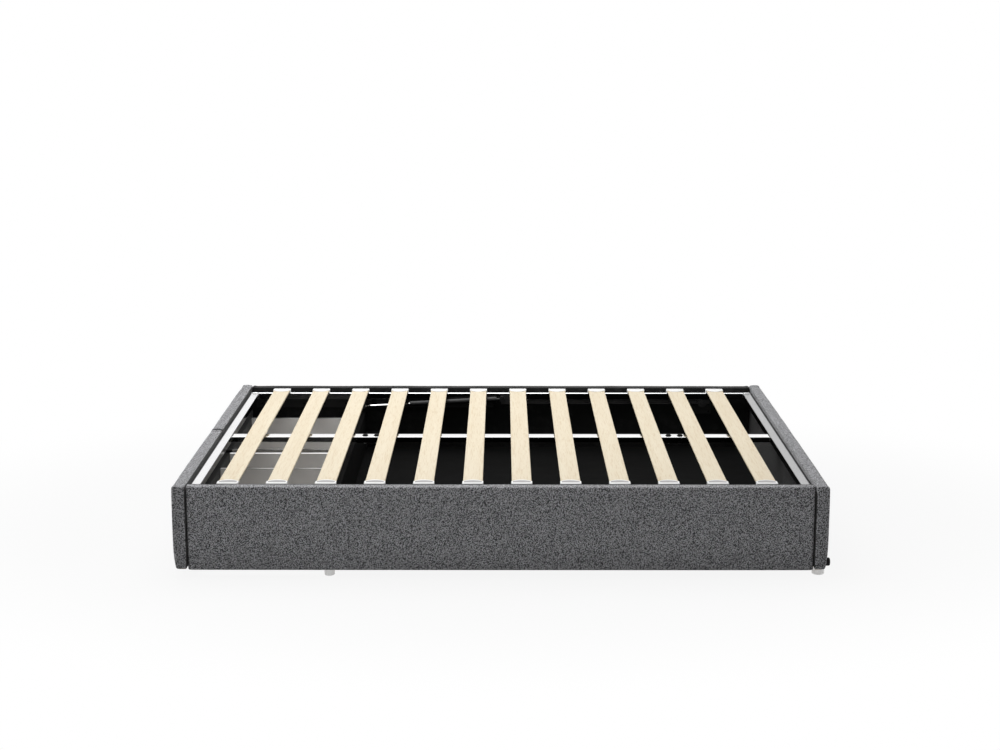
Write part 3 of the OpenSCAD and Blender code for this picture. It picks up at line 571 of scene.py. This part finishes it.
COVER_STEP = 12.0           # spacing of the grid's points
SWELL = 1.5                 # how much smaller the pad is before the cloth is blown out
SWELL_CAP = 3.5             # the most that a point of it may move
SWELL_FRAMES = 20
FOAM_WAVE = 0.6             # height of the foam's unevenness
INNER_R = 4.0               # rounds of the inner face's long edges
PANEL_R, RAIL_R = 9.0, 5.0  # rounds of the outer face's long edges
PANEL_SAG, RAIL_SAG = 2.5, 0.5          # fall of a panel's top towards its two long edges
LOW_CROWN, TOP_CROWN, END_CROWN = 8.0, 1.0, 3.5     # fall of the outer face to its edges
PANEL_END_R, RAIL_END_R = 6.0, 16.0     # rounds of the outer face at a panel's ends
TOP_END_R, LOW_END_R = 7.0, 4.0         # rounds of a panel's top and underside at its ends
MEETING_ROUND = 11.0        # the top's round where the two drawer fronts meet
END_STATIONS = [0, 0.8, END_WRAP, END_WRAP, 5, 8, 12, 18, 27]   # grid's depths at an end
END_HELD = 14.0             # cloth nearer its end than this is held while it is blown out
LINING_AND_SHADE_DROP, HEAD_LINING_AND_SHADE_DROP = 6.0, 22.0           # edge below a panel's top of the dark liner and its painted shade
FRONT_LINING_AND_SHADE_OVER, BACK_LINING_AND_SHADE_OVER = 5.0, 37.0     # painted shade's reach over a rail's top
RAIL_END_SHADE, MEETING_SHADE = 4.0, 3.0      # width of the painted shade at the ends
CREASE_W, CREASE_H = 9.0, 12.0          # painted shade in the top's round where the fronts meet


def stand_back(depth, radius):
    """How far a rounded edge stands back at a depth past its tip:
    r - sqrt(r^2 - (r - depth)^2), and nothing deeper than r."""
    left = np.clip(radius - depth, 0, radius)
    return radius - np.sqrt(radius * radius - left * left)


def arc_points(cx, cy, radius, start, end, count):
    """count points on a circle's arc, from the angle start up to but without end."""
    angle = np.radians(start + (end - start) * np.arange(count) / count)
    return np.stack([cx + radius * np.cos(angle), cy + radius * np.sin(angle)], axis=1)


def line_points(a, b, count):
    """count points on a straight line, from a up to but without b."""
    share = np.arange(count)[:, None] / count
    return np.asarray(a, float) * (1 - share) + np.asarray(b, float) * share


def cover_section(height, outer_r, sag):
    """The closed section of a cover, as (thickness, height) points: up the inner face,
    over the top, down the outer face t = T - crown u^4, and round the slot that holds the
    board. The top falls by sag w^2 towards its long edges, w being -1 to 1 across. The
    second result marks the slot's points."""
    face = max(8, int((height - outer_r) / COVER_STEP))
    tip, low_tip = PAD_T - TOP_CROWN - outer_r, PAD_T - LOW_CROWN - outer_r
    slot_top = height - TOP_PAD
    lip = INNER_R - math.sqrt(INNER_R ** 2 - (INNER_R - BOARD_IN) ** 2)
    outer = line_points((0, height - outer_r), (0, outer_r), face)
    u = 2 * outer[:, 1] / height - 1
    u = u / (1 - 2 * outer_r / height)
    outer[:, 0] = PAD_T - np.where(u < 0, LOW_CROWN, TOP_CROWN) * u ** 4
    before = np.concatenate([
        line_points((0, INNER_R), (0, height - INNER_R), face),
        arc_points(INNER_R, height - INNER_R, INNER_R, 180, 90, 3),
        line_points((INNER_R, height), (tip, height), 4),
        arc_points(tip, height - outer_r, outer_r, 90, 0, 5),
        outer,
        arc_points(low_tip, outer_r, outer_r, 0, -90, 5),
        line_points((low_tip, 0), (BOARD_OUT, 0), 1)])
    across = 2 * before[:, 0] / PAD_T - 1
    near_top = np.clip((before[:, 1] - height + 2 * outer_r) / outer_r, 0, 1)
    before[:, 1] -= sag * across ** 2 * near_top
    board = np.concatenate([
        line_points((BOARD_OUT, 0), (BOARD_OUT, slot_top), 3),
        line_points((BOARD_OUT, slot_top), (BOARD_IN, slot_top), 2),
        line_points((BOARD_IN, slot_top), (BOARD_IN, lip), 3)])
    after = arc_points(INNER_R, INNER_R, INNER_R, 240, 180, 2)
    loop = np.concatenate([before, board, after])
    in_slot = np.zeros(len(loop), bool)
    in_slot[len(before):len(before) + len(board)] = True
    return loop, in_slot


def cover_shell(length, height, outer_r, sag, round_a, round_b, end_r, lining_and_shade_drop,
                lining_and_shade_over):
    """A cover's grid in its own (length, thickness, height). Each station is the section
    with its sides moved in by the rounded ends, and the slot closed up outside the board's
    ends. round_a and round_b are the rounds of the top at the two ends, end_r that of the
    outer face. Each end is flat: its last ring is drawn in once more in its own plane before
    it closes onto its middle. The dark liner, partly real and partly painted shade, reaches
    lining_and_shade_drop below the top; painted shade reaches over the top as far as
    lining_and_shade_over. Returns points, faces, map, pinned points, outward push, the liner
    with its painted shade, and the painted seam shade."""
    loop, in_slot = cover_section(height, outer_r, sag)
    depth = np.array(END_STATIONS)
    steps = int((length - 2 * depth[-1]) / COVER_STEP)
    middle = np.linspace(depth[-1], length - depth[-1], steps + 1)[1:-1]
    station = np.concatenate([depth, middle, length - depth[::-1]])
    open_slot = np.ones(len(station), bool)
    open_slot[:3] = open_slot[-3:] = False
    near = np.minimum(station, length - station)
    s = station - length / 2
    t = np.repeat(loop[None, :, 0], len(s), axis=0)
    h = np.repeat(loop[None, :, 1], len(s), axis=0)

    shut = (~open_slot)[:, None] & in_slot[None]
    share = np.linspace(0, 1, in_slot.sum())
    t[np.ix_(~open_slot, in_slot)] = BOARD_OUT + (BOARD_IN - BOARD_OUT) * share
    h[shut] = 0.0

    inner = stand_back(near, INNER_R)[:, None]
    outer = (stand_back(near, end_r) + END_CROWN * (2 * s / length) ** 4)[:, None]
    t = np.where(t < BOARD_OUT, inner + (BOARD_OUT - inner) * t / BOARD_OUT,
                 BOARD_OUT + (t - BOARD_OUT) * (1 - outer / (PAD_T - BOARD_OUT)))
    top = np.where(s < 0, stand_back(near, round_a), stand_back(near, round_b))[:, None]
    low = stand_back(near, LOW_END_R)[:, None]
    h = low + h * (height - top - low) / height

    walk = np.concatenate([[0], np.cumsum(np.linalg.norm(np.diff(loop, axis=0), axis=1))])
    grid = np.stack([np.repeat(s[:, None], loop.shape[0], axis=1), t, h], axis=-1)
    ends = grid[[0, -1]]
    middle_th = np.array([PAD_T / 2, height / 2])
    ends[..., 1:] = middle_th + (ends[..., 1:] - middle_th) * [0.6, 0.93]
    uv = np.stack([grid[..., 0] + length / 2, np.repeat(walk[None], len(s), axis=0)], axis=-1)
    end_uv = ends[..., 1:] + [length, 0]
    grid = np.concatenate([ends[:1], grid, ends[1:]])
    uv = np.concatenate([end_uv[:1], uv, end_uv[1:]])
    near = np.concatenate([[0], near, [0]])
    meets = np.concatenate([[round_a], np.where(s < 0, round_a, round_b), [round_b]])

    push = np.zeros_like(grid)
    push[..., 1] = np.clip((loop[:, 0] - BOARD_OUT) / (PAD_T - BOARD_OUT), 0, 1)[None]
    push[..., 2] = np.where(loop[:, 1] > height - outer_r, 1.0, 0.0)[None]
    free = (loop[:, 0] > 1.0) & ~in_slot & (loop[:, 1] > 1.0)
    free = free[None] & (near > END_HELD)[:, None]
    # The inner face's dark liner, partly painted shade, and painted shade over a rail's top.
    lining_and_shade = (loop[:, 0] < 1.0) & (loop[:, 1] < height - lining_and_shade_drop)
    lining_and_shade |= (loop[:, 0] < lining_and_shade_over) & (loop[:, 1] > height / 2)
    lining_and_shade = np.repeat(lining_and_shade[None], len(near), axis=0) & (near > 2.0)[:, None]

    points, faces = closed_tube(grid)
    uv = np.concatenate([uv.reshape(-1, 2), uv[0].mean(axis=0)[None], uv[-1].mean(axis=0)[None]])
    pinned = np.concatenate([~free.ravel(), [True, True]])
    push = np.concatenate([(push * free[..., None]).reshape(-1, 3), np.zeros((2, 3))])
    lining_and_shade = np.concatenate([lining_and_shade.ravel(), [False, False]])
    # Painted shade at the rails' ends and in the crease where the drawer fronts meet.
    reach = np.where(meets > TOP_END_R, MEETING_SHADE,
                     RAIL_END_SHADE if end_r > PANEL_END_R else 0.0)
    crease = (meets > TOP_END_R) & (near < CREASE_W)
    seam_shade = crease[:, None] & (loop[None, :, 1] > height - CREASE_H)
    seam_shade |= (near < reach)[:, None]
    seam_shade = np.concatenate([seam_shade.ravel(), [False, False]])
    return points, faces, uv, pinned, push, lining_and_shade, seam_shade


def slow_waves(points, seed):
    """A slow unevenness of foam under cloth: the mean of six sine waves of different
    lengths and directions over the panel."""
    draw = np.random.default_rng(seed)
    total = np.zeros(len(points))
    for _ in range(6):
        wave = draw.uniform(0.008, 0.05, 3) * draw.choice([-1, 1], 3)
        total += np.sin(points @ wave + draw.uniform(0, 2 * math.pi))
    return total / 6


CLOTH_SETTINGS = {
    "quality": 4, "mass": 0.4, "tension_stiffness": 25, "compression_stiffness": 25,
    "shear_stiffness": 12, "bending_stiffness": 4, "vertex_group_mass": "held",
    "use_pressure": True, "uniform_pressure_force": 4.0}


def corner_points(mesh):
    """A mesh's points as an array, (n, 3)."""
    points = np.empty(len(mesh.vertices) * 3, np.float32)
    mesh.vertices.foreach_get("co", points)
    return points.reshape(-1, 3).astype(float)


def blow_out(covers):
    """Runs Cloth with inner pressure and no gravity over all covers at once, then lets each
    point move by at most SWELL_CAP from where it started."""
    scene = bpy.context.scene
    for obj, pinned in covers:
        pins = obj.vertex_groups.new(name="held")
        pins.add(np.flatnonzero(pinned).tolist(), 1.0, "REPLACE")
        cloth = obj.modifiers.new("swell", "CLOTH")
        for key, value in CLOTH_SETTINGS.items():
            setattr(cloth.settings, key, value)
        cloth.settings.effector_weights.gravity = 0.0
        cloth.point_cache.frame_start = 1
        cloth.point_cache.frame_end = SWELL_FRAMES
    for step in range(1, SWELL_FRAMES + 1):
        scene.frame_set(step)
    graph = bpy.context.evaluated_depsgraph_get()
    swollen = [corner_points(obj.evaluated_get(graph).data) for obj, _ in covers]
    for (obj, _), after in zip(covers, swollen):
        before = corner_points(obj.data)
        move = after - before
        far = np.linalg.norm(move, axis=1, keepdims=True)
        move *= np.minimum(1.0, SWELL_CAP * MM / np.maximum(far, 1e-9))
        obj.modifiers.remove(obj.modifiers["swell"])
        obj.vertex_groups.clear()
        obj.data.vertices.foreach_set("co", (before + move).astype(np.float32).ravel())
        obj.data.update()
    scene.frame_set(1)


def mark(obj, name, values):
    """A number for each point, for the material to read."""
    made = obj.data.attributes.new(name, "FLOAT", "POINT")
    made.data.foreach_set("value", np.asarray(values, np.float32))


def cover(name, node_name, body, length, height, place, seed, outer_r=PANEL_R,
          sag=PANEL_SAG, round_a=TOP_END_R, round_b=TOP_END_R, end_r=PANEL_END_R,
          lining_and_shade_drop=LINING_AND_SHADE_DROP, lining_and_shade_over=0.0):
    """One cover: its shell, drawn in by SWELL with the slow waves of its foam, then put
    where place(s, t, h) says."""
    points, faces, uv, pinned, push, lining_and_shade, seam_shade = cover_shell(
        length, height, outer_r, sag, round_a, round_b, end_r, lining_and_shade_drop, lining_and_shade_over)
    wave = FOAM_WAVE * slow_waves(points, seed)
    points = points + push * (wave - SWELL)[:, None]
    obj = mesh_object(name, np.stack(place(*points.T), axis=1), faces, uv)
    mark(obj, "lining_and_shade", lining_and_shade)
    mark(obj, "seam_shade", seam_shade)
    finish(obj, "cover_fabric", body, node_name)
    return obj, pinned


def rail_place(side):
    """Puts a rail's cover on the side +1, back, or -1, front."""
    return lambda s, t, h: (MID_X + s, side * (SIDE_Y + t), RAIL_Z + h)


COVERS = [
    cover("front_rail_padding", "front_rail_cover", "base", RAIL_L, RAIL_H, rail_place(-1), 1,
          RAIL_R, RAIL_SAG, end_r=RAIL_END_R, lining_and_shade_over=FRONT_LINING_AND_SHADE_OVER),
    cover("back_rail_padding", "back_rail_cover", "base", RAIL_L, RAIL_H, rail_place(1), 2,
          RAIL_R, RAIL_SAG, end_r=RAIL_END_R, lining_and_shade_over=BACK_LINING_AND_SHADE_OVER),
    cover("head_panel_padding", "head_panel_cover", "base", 2 * OUT_Y, END_H,
          lambda s, t, h: (HEAD_X + t, s, END_Z + h), 3, lining_and_shade_drop=HEAD_LINING_AND_SHADE_DROP),
    cover("front_drawer_padding", "front_drawer_cover", "front_drawer", FRONT_L, END_H,
          lambda s, t, h: (FOOT_X - t, s - FRONT_Y, END_Z + h), 4, round_b=MEETING_ROUND),
    cover("back_drawer_padding", "back_drawer_cover", "back_drawer", FRONT_L, END_H,
          lambda s, t, h: (FOOT_X - t, s + FRONT_Y, END_Z + h), 5, round_a=MEETING_ROUND),
]
blow_out(COVERS)
for obj, _ in COVERS:
    smoother = obj.modifiers.new("rounded", "SUBSURF")
    smoother.levels = smoother.render_levels = 1


# ---- Slat caps ----

CAP_HALF = 34.4             # half a cap's width
CAP_BODY, CAP_TONGUE = 34.0, 20.0
CAP_TOP = 305.2
CAP_POCKET = (295.0, 302.7)
CAP_STRIP = 15.0            # outer part of a cap that stands a little higher
CAP_SHELF = 303.4           # top of the body under the plate with the lens
LENS_HALF = 29.0            # half the lens's width


def rounded_ring(half_w, low, high, radius, y):
    """A rounded rectangle, |x| < half_w and low < z < high, at one y: four quarter circles
    whose ends the straight sides join."""
    radius = min(radius, half_w - 0.01, (high - low) / 2 - 0.01)
    right, top, bottom = half_w - radius, high - radius, low + radius
    parts = []
    for cx, cz, start in ((right, top, 0), (-right, top, 90),
                          (-right, bottom, 180), (right, bottom, 270)):
        a = np.radians(start + np.linspace(0, 90, 5))
        parts.append(np.stack([cx + radius * np.cos(a), np.full(len(a), y),
                               cz + radius * np.sin(a)], axis=1))
    return np.concatenate(parts)


def cap_body():
    """A cap's closed body, with y = 0 at its outer end: a rounded rectangle carried in from
    the outer end, round the lip of its mouth and back along the pocket that holds the slat."""
    low, high = DECK_TOP, CAP_TOP
    inside_low, inside_high = CAP_POCKET
    half_in = SLAT_W / 2 + 0.3
    path = [(CAP_HALF - 2.2, low + 0.8, high - 2.2, 0.0),
            (CAP_HALF - 0.9, low + 0.3, high - 0.8, -0.6),
            (CAP_HALF, low, high, -2.4),
            (CAP_HALF, low, high, -CAP_STRIP + 0.8),
            (CAP_HALF - 0.2, low, high - 0.4, -CAP_STRIP),
            (CAP_HALF - 0.2, low, CAP_SHELF, -CAP_STRIP - 0.2),
            (CAP_HALF - 0.2, low, CAP_SHELF, -CAP_BODY + 0.8),
            (CAP_HALF - 0.5, low + 0.4, CAP_SHELF - 0.2, -CAP_BODY),
            (half_in, inside_low, inside_high, -CAP_BODY),
            (half_in, inside_low, inside_high, -16.0),
            (half_in, inside_low, inside_high, -3.0)]
    radii = [1.2, 1.6, 2.0, 2.0, 1.8, 1.8, 1.8, 1.8, 1.6, 1.6, 1.6]
    rings = np.stack([rounded_ring(w, a, b, r, y) for (w, a, b, y), r in zip(path, radii)])
    return closed_tube(rings)


def cap_tongue():
    """The plate over the slat, from the raised strip to the rounded tongue. With a across it,
    -1 to 1, and b from the strip to the bow, 0 to 1, the plan is
    y = -strip - b (body + bow(x) - strip), bow a circle's arc. The top keeps a raised rim
    round a lens that lies 0.8 mm lower. The third result marks the lens."""
    chord = CAP_HALF - 3.0
    bow_r = (chord * chord + CAP_TONGUE * CAP_TONGUE) / (2 * CAP_TONGUE)
    a = np.sin(np.linspace(-math.pi / 2, math.pi / 2, 27))
    b = np.array([0.0, 0.03, 0.07, 0.3, 0.55, 0.75, 0.79, 0.9, 0.96, 1.0])
    x = np.repeat((a * (CAP_HALF - 0.1))[None], len(b), axis=0)
    bow = np.sqrt(np.maximum(bow_r ** 2 - x ** 2, 0)) - bow_r + CAP_TONGUE
    bow = np.where(np.abs(x) < chord, np.maximum(bow, 0.2), 0.2)
    y = -CAP_STRIP + 0.4 - b[:, None] * (CAP_BODY - CAP_STRIP + bow)
    inside = np.clip((LENS_HALF - np.abs(x)) / 1.5, 0, 1)
    low = np.clip(np.minimum((b - 0.03) / 0.03, (0.79 - b) / 0.03), 0, 1)[:, None] * inside
    edge = (b[:, None] > 0.97) | (np.abs(a)[None] > 0.995)
    rim_z, under_z = CAP_TOP - 0.6, CAP_POCKET[1]
    top = np.where(edge, rim_z - 0.6, rim_z) - 0.8 * low
    rows, columns = top.shape
    upper = np.stack([x, y, top], axis=-1).reshape(-1, 3)
    lower = np.stack([x, y, np.full_like(top, under_z)], axis=-1).reshape(-1, 3)
    quads = grid_faces(rows, columns, ringed=False)
    rim = np.concatenate([np.arange(columns), np.arange(1, rows) * columns + columns - 1,
                          (rows - 1) * columns + np.arange(columns - 2, -1, -1),
                          np.arange(rows - 2, 0, -1) * columns])
    wall = np.stack([rim, np.roll(rim, -1), np.roll(rim, -1) + rows * columns,
                     rim + rows * columns], -1)
    points = np.concatenate([upper, lower])
    faces = np.concatenate([quads, (quads + rows * columns)[:, ::-1], wall[:, ::-1]])
    lens = np.concatenate([np.where(low > 0.5, 1.0, 0.0).ravel(), np.zeros(rows * columns)])
    return points, faces, lens


def slat_caps(name, node_name, side):
    """All caps on one side of the deck, one under each slat's end."""
    tongue, tongue_faces, lens = cap_tongue()
    body, body_faces = cap_body()
    places = [(x, DECK_Y, 0) for x in SLAT_X]
    points, faces = joined([repeated(body, body_faces, places),
                            repeated(tongue, tongue_faces, places)])
    if side < 0:
        points = points * [1, -1, 1]
    obj = mesh_object(name, points, faces)
    mark(obj, "lens", np.concatenate([np.zeros(len(body) * len(places)),
                                      np.tile(lens, len(places))]))
    finish(obj, "cap_plastic", "deck", node_name)


slat_caps("back_cap_set", "back_slat_caps", 1)
slat_caps("front_cap_set", "front_slat_caps", -1)


# ---- Bolts and screws ----

def spun(profile, sides=24, socket=None):
    """A profile of (radius, height) points turned about +Z and closed at both ends. Rings
    within the socket's rows, a range, follow a hexagon:
    r = apothem / cos of the angle from the nearest flat's middle."""
    angle = 2 * math.pi * np.arange(sides) / sides
    radius, height = (np.repeat(np.array(profile, float)[:, k:k + 1], sides, axis=1)
                      for k in (0, 1))
    if socket:
        flat = np.mod(angle, math.pi / 3) - math.pi / 6
        radius[slice(*socket)] /= np.cos(flat)
    rings = np.stack([radius * np.cos(angle), radius * np.sin(angle), height], axis=-1)
    return closed_tube(rings)


def button_head(d, h, key):
    """A low round bolt head of diameter d and height h with a hexagonal socket of half
    width key: profile down from the socket's floor, over the dome and in underneath."""
    r = d / 2
    return spun([(key * 0.9, h * 0.35), (key, h * 0.4), (key, h * 0.98), (key + 0.5, h),
                 (r * 0.72, h * 0.93), (r * 0.92, h * 0.6), (r, h * 0.25), (r, 0.0),
                 (r * 0.5, -0.4)], socket=(0, 4))


def washer(d, hole, t):
    """A flat ring with softened edges."""
    r = d / 2
    return spun([(hole, 0.0), (r - 0.3, 0.0), (r, 0.3), (r, t - 0.3), (r - 0.3, t), (hole, t)])


def bolt_set(name, bolts, body, *nodes, bright=()):
    """Bolts given as (shape, forward, places); those whose number is in bright are zinc."""
    parts, zinc = [], []
    for k, ((points, faces), forward, places) in enumerate(bolts):
        parts.append(repeated(turned(points, forward), faces, places))
        zinc.append(np.full(len(parts[-1][0]), 1.0 if k in bright else 0.0))
    obj = mesh_object(name, *joined(parts))
    mark(obj, "bright", np.concatenate(zinc))
    finish(obj, "bolt_steel", body, *nodes)


up, down = (0, 0, 1), (0, 0, -1)
nut_top = BEAM_BOTTOM - JOINT_PLATE
nut_t = 6.0
hexagon = spun([(3.8, 0.0), (6.0, 0.0), (6.6, 0.6), (6.6, nut_t - 0.6), (6.0, nut_t),
                (3.8, nut_t)], sides=12, socket=(1, 5))
shank = BEAM_TOP - nut_top + nut_t
bolt_set("beam_joint_bolts", [
    (button_head(17.5, 5.0, 3.5), up, [(x, 0, BEAM_TOP + 1.0) for x in BEAM_BOLT_X]),
    (washer(22, 4.2, 1.2), up, [(x, 0, BEAM_TOP - 0.1) for x in BEAM_BOLT_X]),
    (hexagon, down, [(x, 0, nut_top) for x in BEAM_BOLT_X]),
    (spun([(3.6, 0.0), (3.9, 0.5), (3.9, shank - 0.5), (3.6, shank)]), up,
     [(x, 0, nut_top - nut_t) for x in BEAM_BOLT_X])], "deck", "beam_bolts", bright=(2,))

frame_head = button_head(14, 4.5, 2.6)
frame_parts = []
for side in (-1, 1):
    on_rail, off_rail = (side * (SIDE_Y - away) for away in (BRACKET_T, BRACKET_REACH))
    for z in (BRACKET_Z + hole for hole in BRACKET_HOLES):
        frame_parts += [
            (frame_head, (-1, 0, 0), [(HEAD_X - BRACKET_T, off_rail, z)]),
            (frame_head, (0, -side, 0), [(HEAD_X - BRACKET_REACH, on_rail, z),
                                         (STORE_X + BRACKET_REACH, on_rail, z)]),
            (frame_head, (1, 0, 0), [(STORE_X + BRACKET_T, off_rail, z)])]
bolt_set("corner_bolts", frame_parts, "base", "frame_bolts")

screw = button_head(8, 2.2, 1.5)
screw_parts = []
for side in (-1, 1):
    spots = [(x, side * (SIDE_Y - LEDGE_T), LEDGE_SCREW_Z) for x0, x1 in LEDGE_RUNS
             for x in np.linspace(x0 + 25, x1 - 25, 5)]
    for (x, z), across, heights in ((HINGE, 30, (-12, -42)), (STRUT_FOOT, 24, (-13, 9))):
        spots += [(x + dx, side * (SIDE_Y - PLATE_T), z + dz)
                  for dx in (-across, across) for dz in heights]
    screw_parts.append((screw, (0, -side, 0), spots))
bolt_set("wall_screws", screw_parts, "base")


# ---- Welds on the deck frame ----

UPRIGHT_BEAD, FLAT_BEAD, ARM_BEAD = 2.2, 1.6, 1.8   # the beads' radii
ARM_SEAM_Y = (731.0, 753.0)             # both sides of a lift arm under its side tube
ARM_BEAD_X, ARM_BEAD_L = np.arange(30.0, 820.0, 130.0), 40.0


def weld_bead(start, end, radius):
    """A bead along a straight seam: a ring whose radius swells and shrinks as
    r (1 + 0.16 cos(2 pi s / 4 mm)), drawn in at both ends."""
    start, end = np.asarray(start, float), np.asarray(end, float)
    length = np.linalg.norm(end - start)
    rows = max(8, int(length))
    s = np.linspace(0, 1, rows)
    swell = radius * (1 + 0.16 * np.cos(2 * math.pi * s * length / 4.0))
    swell = swell * np.sqrt(np.clip(1 - (2 * np.abs(s - 0.5)) ** 12, 0.02, 1))
    angle = 2 * math.pi * np.arange(8) / 8
    ring = np.stack([np.cos(angle), np.sin(angle), np.zeros(8)], axis=1)
    rings = (turned(ring, (end - start) / length)[None] * swell[:, None, None]
             + (start + (end - start) * s[:, None])[:, None])
    return closed_tube(rings)


welds = []
inner_x = (DECK_FOOT_X + TUBE_W, DECK_HEAD_X - TUBE_W)      # end tubes' inner faces
for side in (-1, 1):
    y = side * TUBE_IN_Y
    for x in inner_x:
        welds.append(weld_bead((x, y, DECK_BOTTOM + 4), (x, y, DECK_TOP - 4), UPRIGHT_BEAD))
    for x0 in (DECK_FOOT_X, DECK_HEAD_X - TUBE_W):
        for z in (DECK_TOP, DECK_BOTTOM):
            welds.append(weld_bead((x0 + 4, y, z), (x0 + TUBE_W - 4, y, z), FLAT_BEAD))
    for x in inner_x:
        welds.append(weld_bead((x, side * BEAM_HALF, BEAM_BOTTOM + 3),
                               (x, side * BEAM_HALF, BEAM_TOP - 3), UPRIGHT_BEAD))
for x in inner_x:
    welds.append(weld_bead((x, -BEAM_HALF + 4, BEAM_TOP), (x, BEAM_HALF - 4, BEAM_TOP),
                           FLAT_BEAD))
for y in (side * seam for side in (-1, 1) for seam in ARM_SEAM_Y):
    for x in ARM_BEAD_X:
        welds.append(weld_bead((x, y, DECK_BOTTOM), (x + ARM_BEAD_L, y, DECK_BOTTOM), ARM_BEAD))
finish(mesh_object("deck_welds", *joined(welds)), "deck_steel", "deck")


# ---- Staples along the hem of the covers' inner faces ----

def staple():
    """A staple's crown, a bar 10 mm long along X with its ends bent in, along +Z."""
    s = np.linspace(-1, 1, 7)
    angle = 2 * math.pi * np.arange(6) / 6
    rise = 0.5 * np.sqrt(np.clip(1 - s ** 8, 0, 1)) - 0.3
    ring = np.stack([np.zeros(6), 0.6 * np.cos(angle), 0.35 * np.sin(angle)], axis=1)
    rings = ring[None] + np.stack([5 * s, 0 * s, rise], axis=1)[:, None]
    return closed_tube(rings)


STAPLE_STEP = 28.0
bar, bar_faces = staple()
hem_z = RAIL_Z + RAIL_H - LINING_AND_SHADE_DROP - 10.0
head_hem_z = END_Z + END_H - HEAD_LINING_AND_SHADE_DROP - 8.0
staples = []
for side in (-1, 1):
    along = bar @ np.array([[1, 0, 0], [0, 0, 1], [0, -side, 0]], float)
    staples.append(repeated(along, bar_faces, [
        (x, side * SIDE_Y, hem_z + 3.0 * (k % 2))
        for k, x in enumerate(np.arange(-1000.0, 1000.0, STAPLE_STEP))]))
along = bar @ np.array([[0, 1, 0], [0, 0, 1], [-1, 0, 0]], float)
staples.append(repeated(along, bar_faces, [
    (HEAD_X, y, head_hem_z + 3.0 * (k % 2))
    for k, y in enumerate(np.arange(-740.0, 745.0, STAPLE_STEP))]))
finish(mesh_object("hem_staples", *joined(staples)), "black_steel", "base")


# ---- Floor, light and camera ----

def blank_tree(block):
    """The emptied node tree of a new material or world."""
    block.use_nodes = True
    block.node_tree.nodes.clear()
    return block.node_tree


def seen_plain(tree):
    """1 for what the camera sees by itself, in a reflection or through glass."""
    paths = node(tree, "ShaderNodeLightPath").outputs
    return calc(tree, "MAXIMUM", paths["Is Camera Ray"],
                calc(tree, "MAXIMUM", paths["Is Glossy Ray"], paths["Is Transmission Ray"]))


def show_mix(tree, kind, share, first, second):
    """Ends a tree in an output node of a kind, with a share of the second of two shaders."""
    mix = node(tree, "ShaderNodeMixShader", {0: share, 1: first, 2: second})
    node(tree, kind, {"Surface": mix.outputs[0]})


def floor():
    """A wide pale floor. Near the bed the camera sees plain white mixed with a share of a
    matt surface that takes a faint shadow; further out it is plain white."""
    near_white = 0.90
    size = 9.0
    mesh = bpy.data.meshes.new("studio_floor")
    mesh.from_pydata([(-size, -size, 0), (size, -size, 0), (size, size, 0), (-size, size, 0)],
                     [], [(0, 1, 2, 3)])
    material = bpy.data.materials.new("pale floor")
    tree = blank_tree(material)
    flat = stretched(tree, object_place(tree), (0.72, 1.0, 0.0))
    away = node(tree, "ShaderNodeVectorMath", {0: flat}, operation="LENGTH").outputs["Value"]
    fade = calc(tree, "MULTIPLY", spread(tree, away, 0.9, 1.9, near_white, 1.0),
                seen_plain(tree))
    matt = node(tree, "ShaderNodeBsdfDiffuse", {"Color": grey(0.62)}).outputs[0]
    glow = node(tree, "ShaderNodeEmission", {"Color": grey(1.0), "Strength": 1.0}).outputs[0]
    show_mix(tree, "ShaderNodeOutputMaterial", fade, matt, glow)
    mesh.materials.append(material)
    linked("studio_floor", mesh)


def softbox(name, place, aim, size, power):
    """A rectangular lamp that looks from one point to another."""
    lamp = bpy.data.lights.new(name, "AREA")
    lamp.shape = "RECTANGLE"
    lamp.size, lamp.size_y = size
    lamp.energy = power
    obj = linked(name, lamp)
    obj.location = place
    away = np.asarray(aim, float) - np.asarray(place, float)
    across = math.hypot(away[0], away[1])
    obj.rotation_euler = (math.atan2(across, -away[2]), 0, math.atan2(-away[0], away[1]))


def world():
    """Even pale surroundings: plain white where the camera or a reflection sees them, and
    weaker as light on the bed."""
    made = bpy.data.worlds.new("studio")
    tree = blank_tree(made)
    weak, plain = (node(tree, "ShaderNodeBackground",
                        {"Color": grey(1.0), "Strength": strength}).outputs[0]
                   for strength in (0.15, 1.0))
    show_mix(tree, "ShaderNodeOutputWorld", seen_plain(tree), weak, plain)
    bpy.context.scene.world = made


def camera():
    """The photograph's camera, fitted to the slats' lines and the panels' corners."""
    data = bpy.data.cameras.new("camera")
    data.sensor_width = 36.0
    data.lens = 64.26
    obj = linked("camera", data)
    obj.location = (-0.0023, -6.379, 1.791)
    looks_down, rolls, looks_left = 0.1977, -0.0005, 0.0009
    obj.rotation_euler = (math.pi / 2 - looks_down, rolls, looks_left)
    bpy.context.scene.camera = obj


floor()
world()
camera()
softbox("overhead", (-0.5, 0.5, 3.3), (0.1, 0.0, 0.0), (4.0, 3.2), 136.0)
softbox("front fill", (-0.1, -5.0, 0.7), (0.0, 0.0, 0.15), (2.6, 1.0), 8.5)
bpy.context.scene.view_settings.view_transform = "Standard"
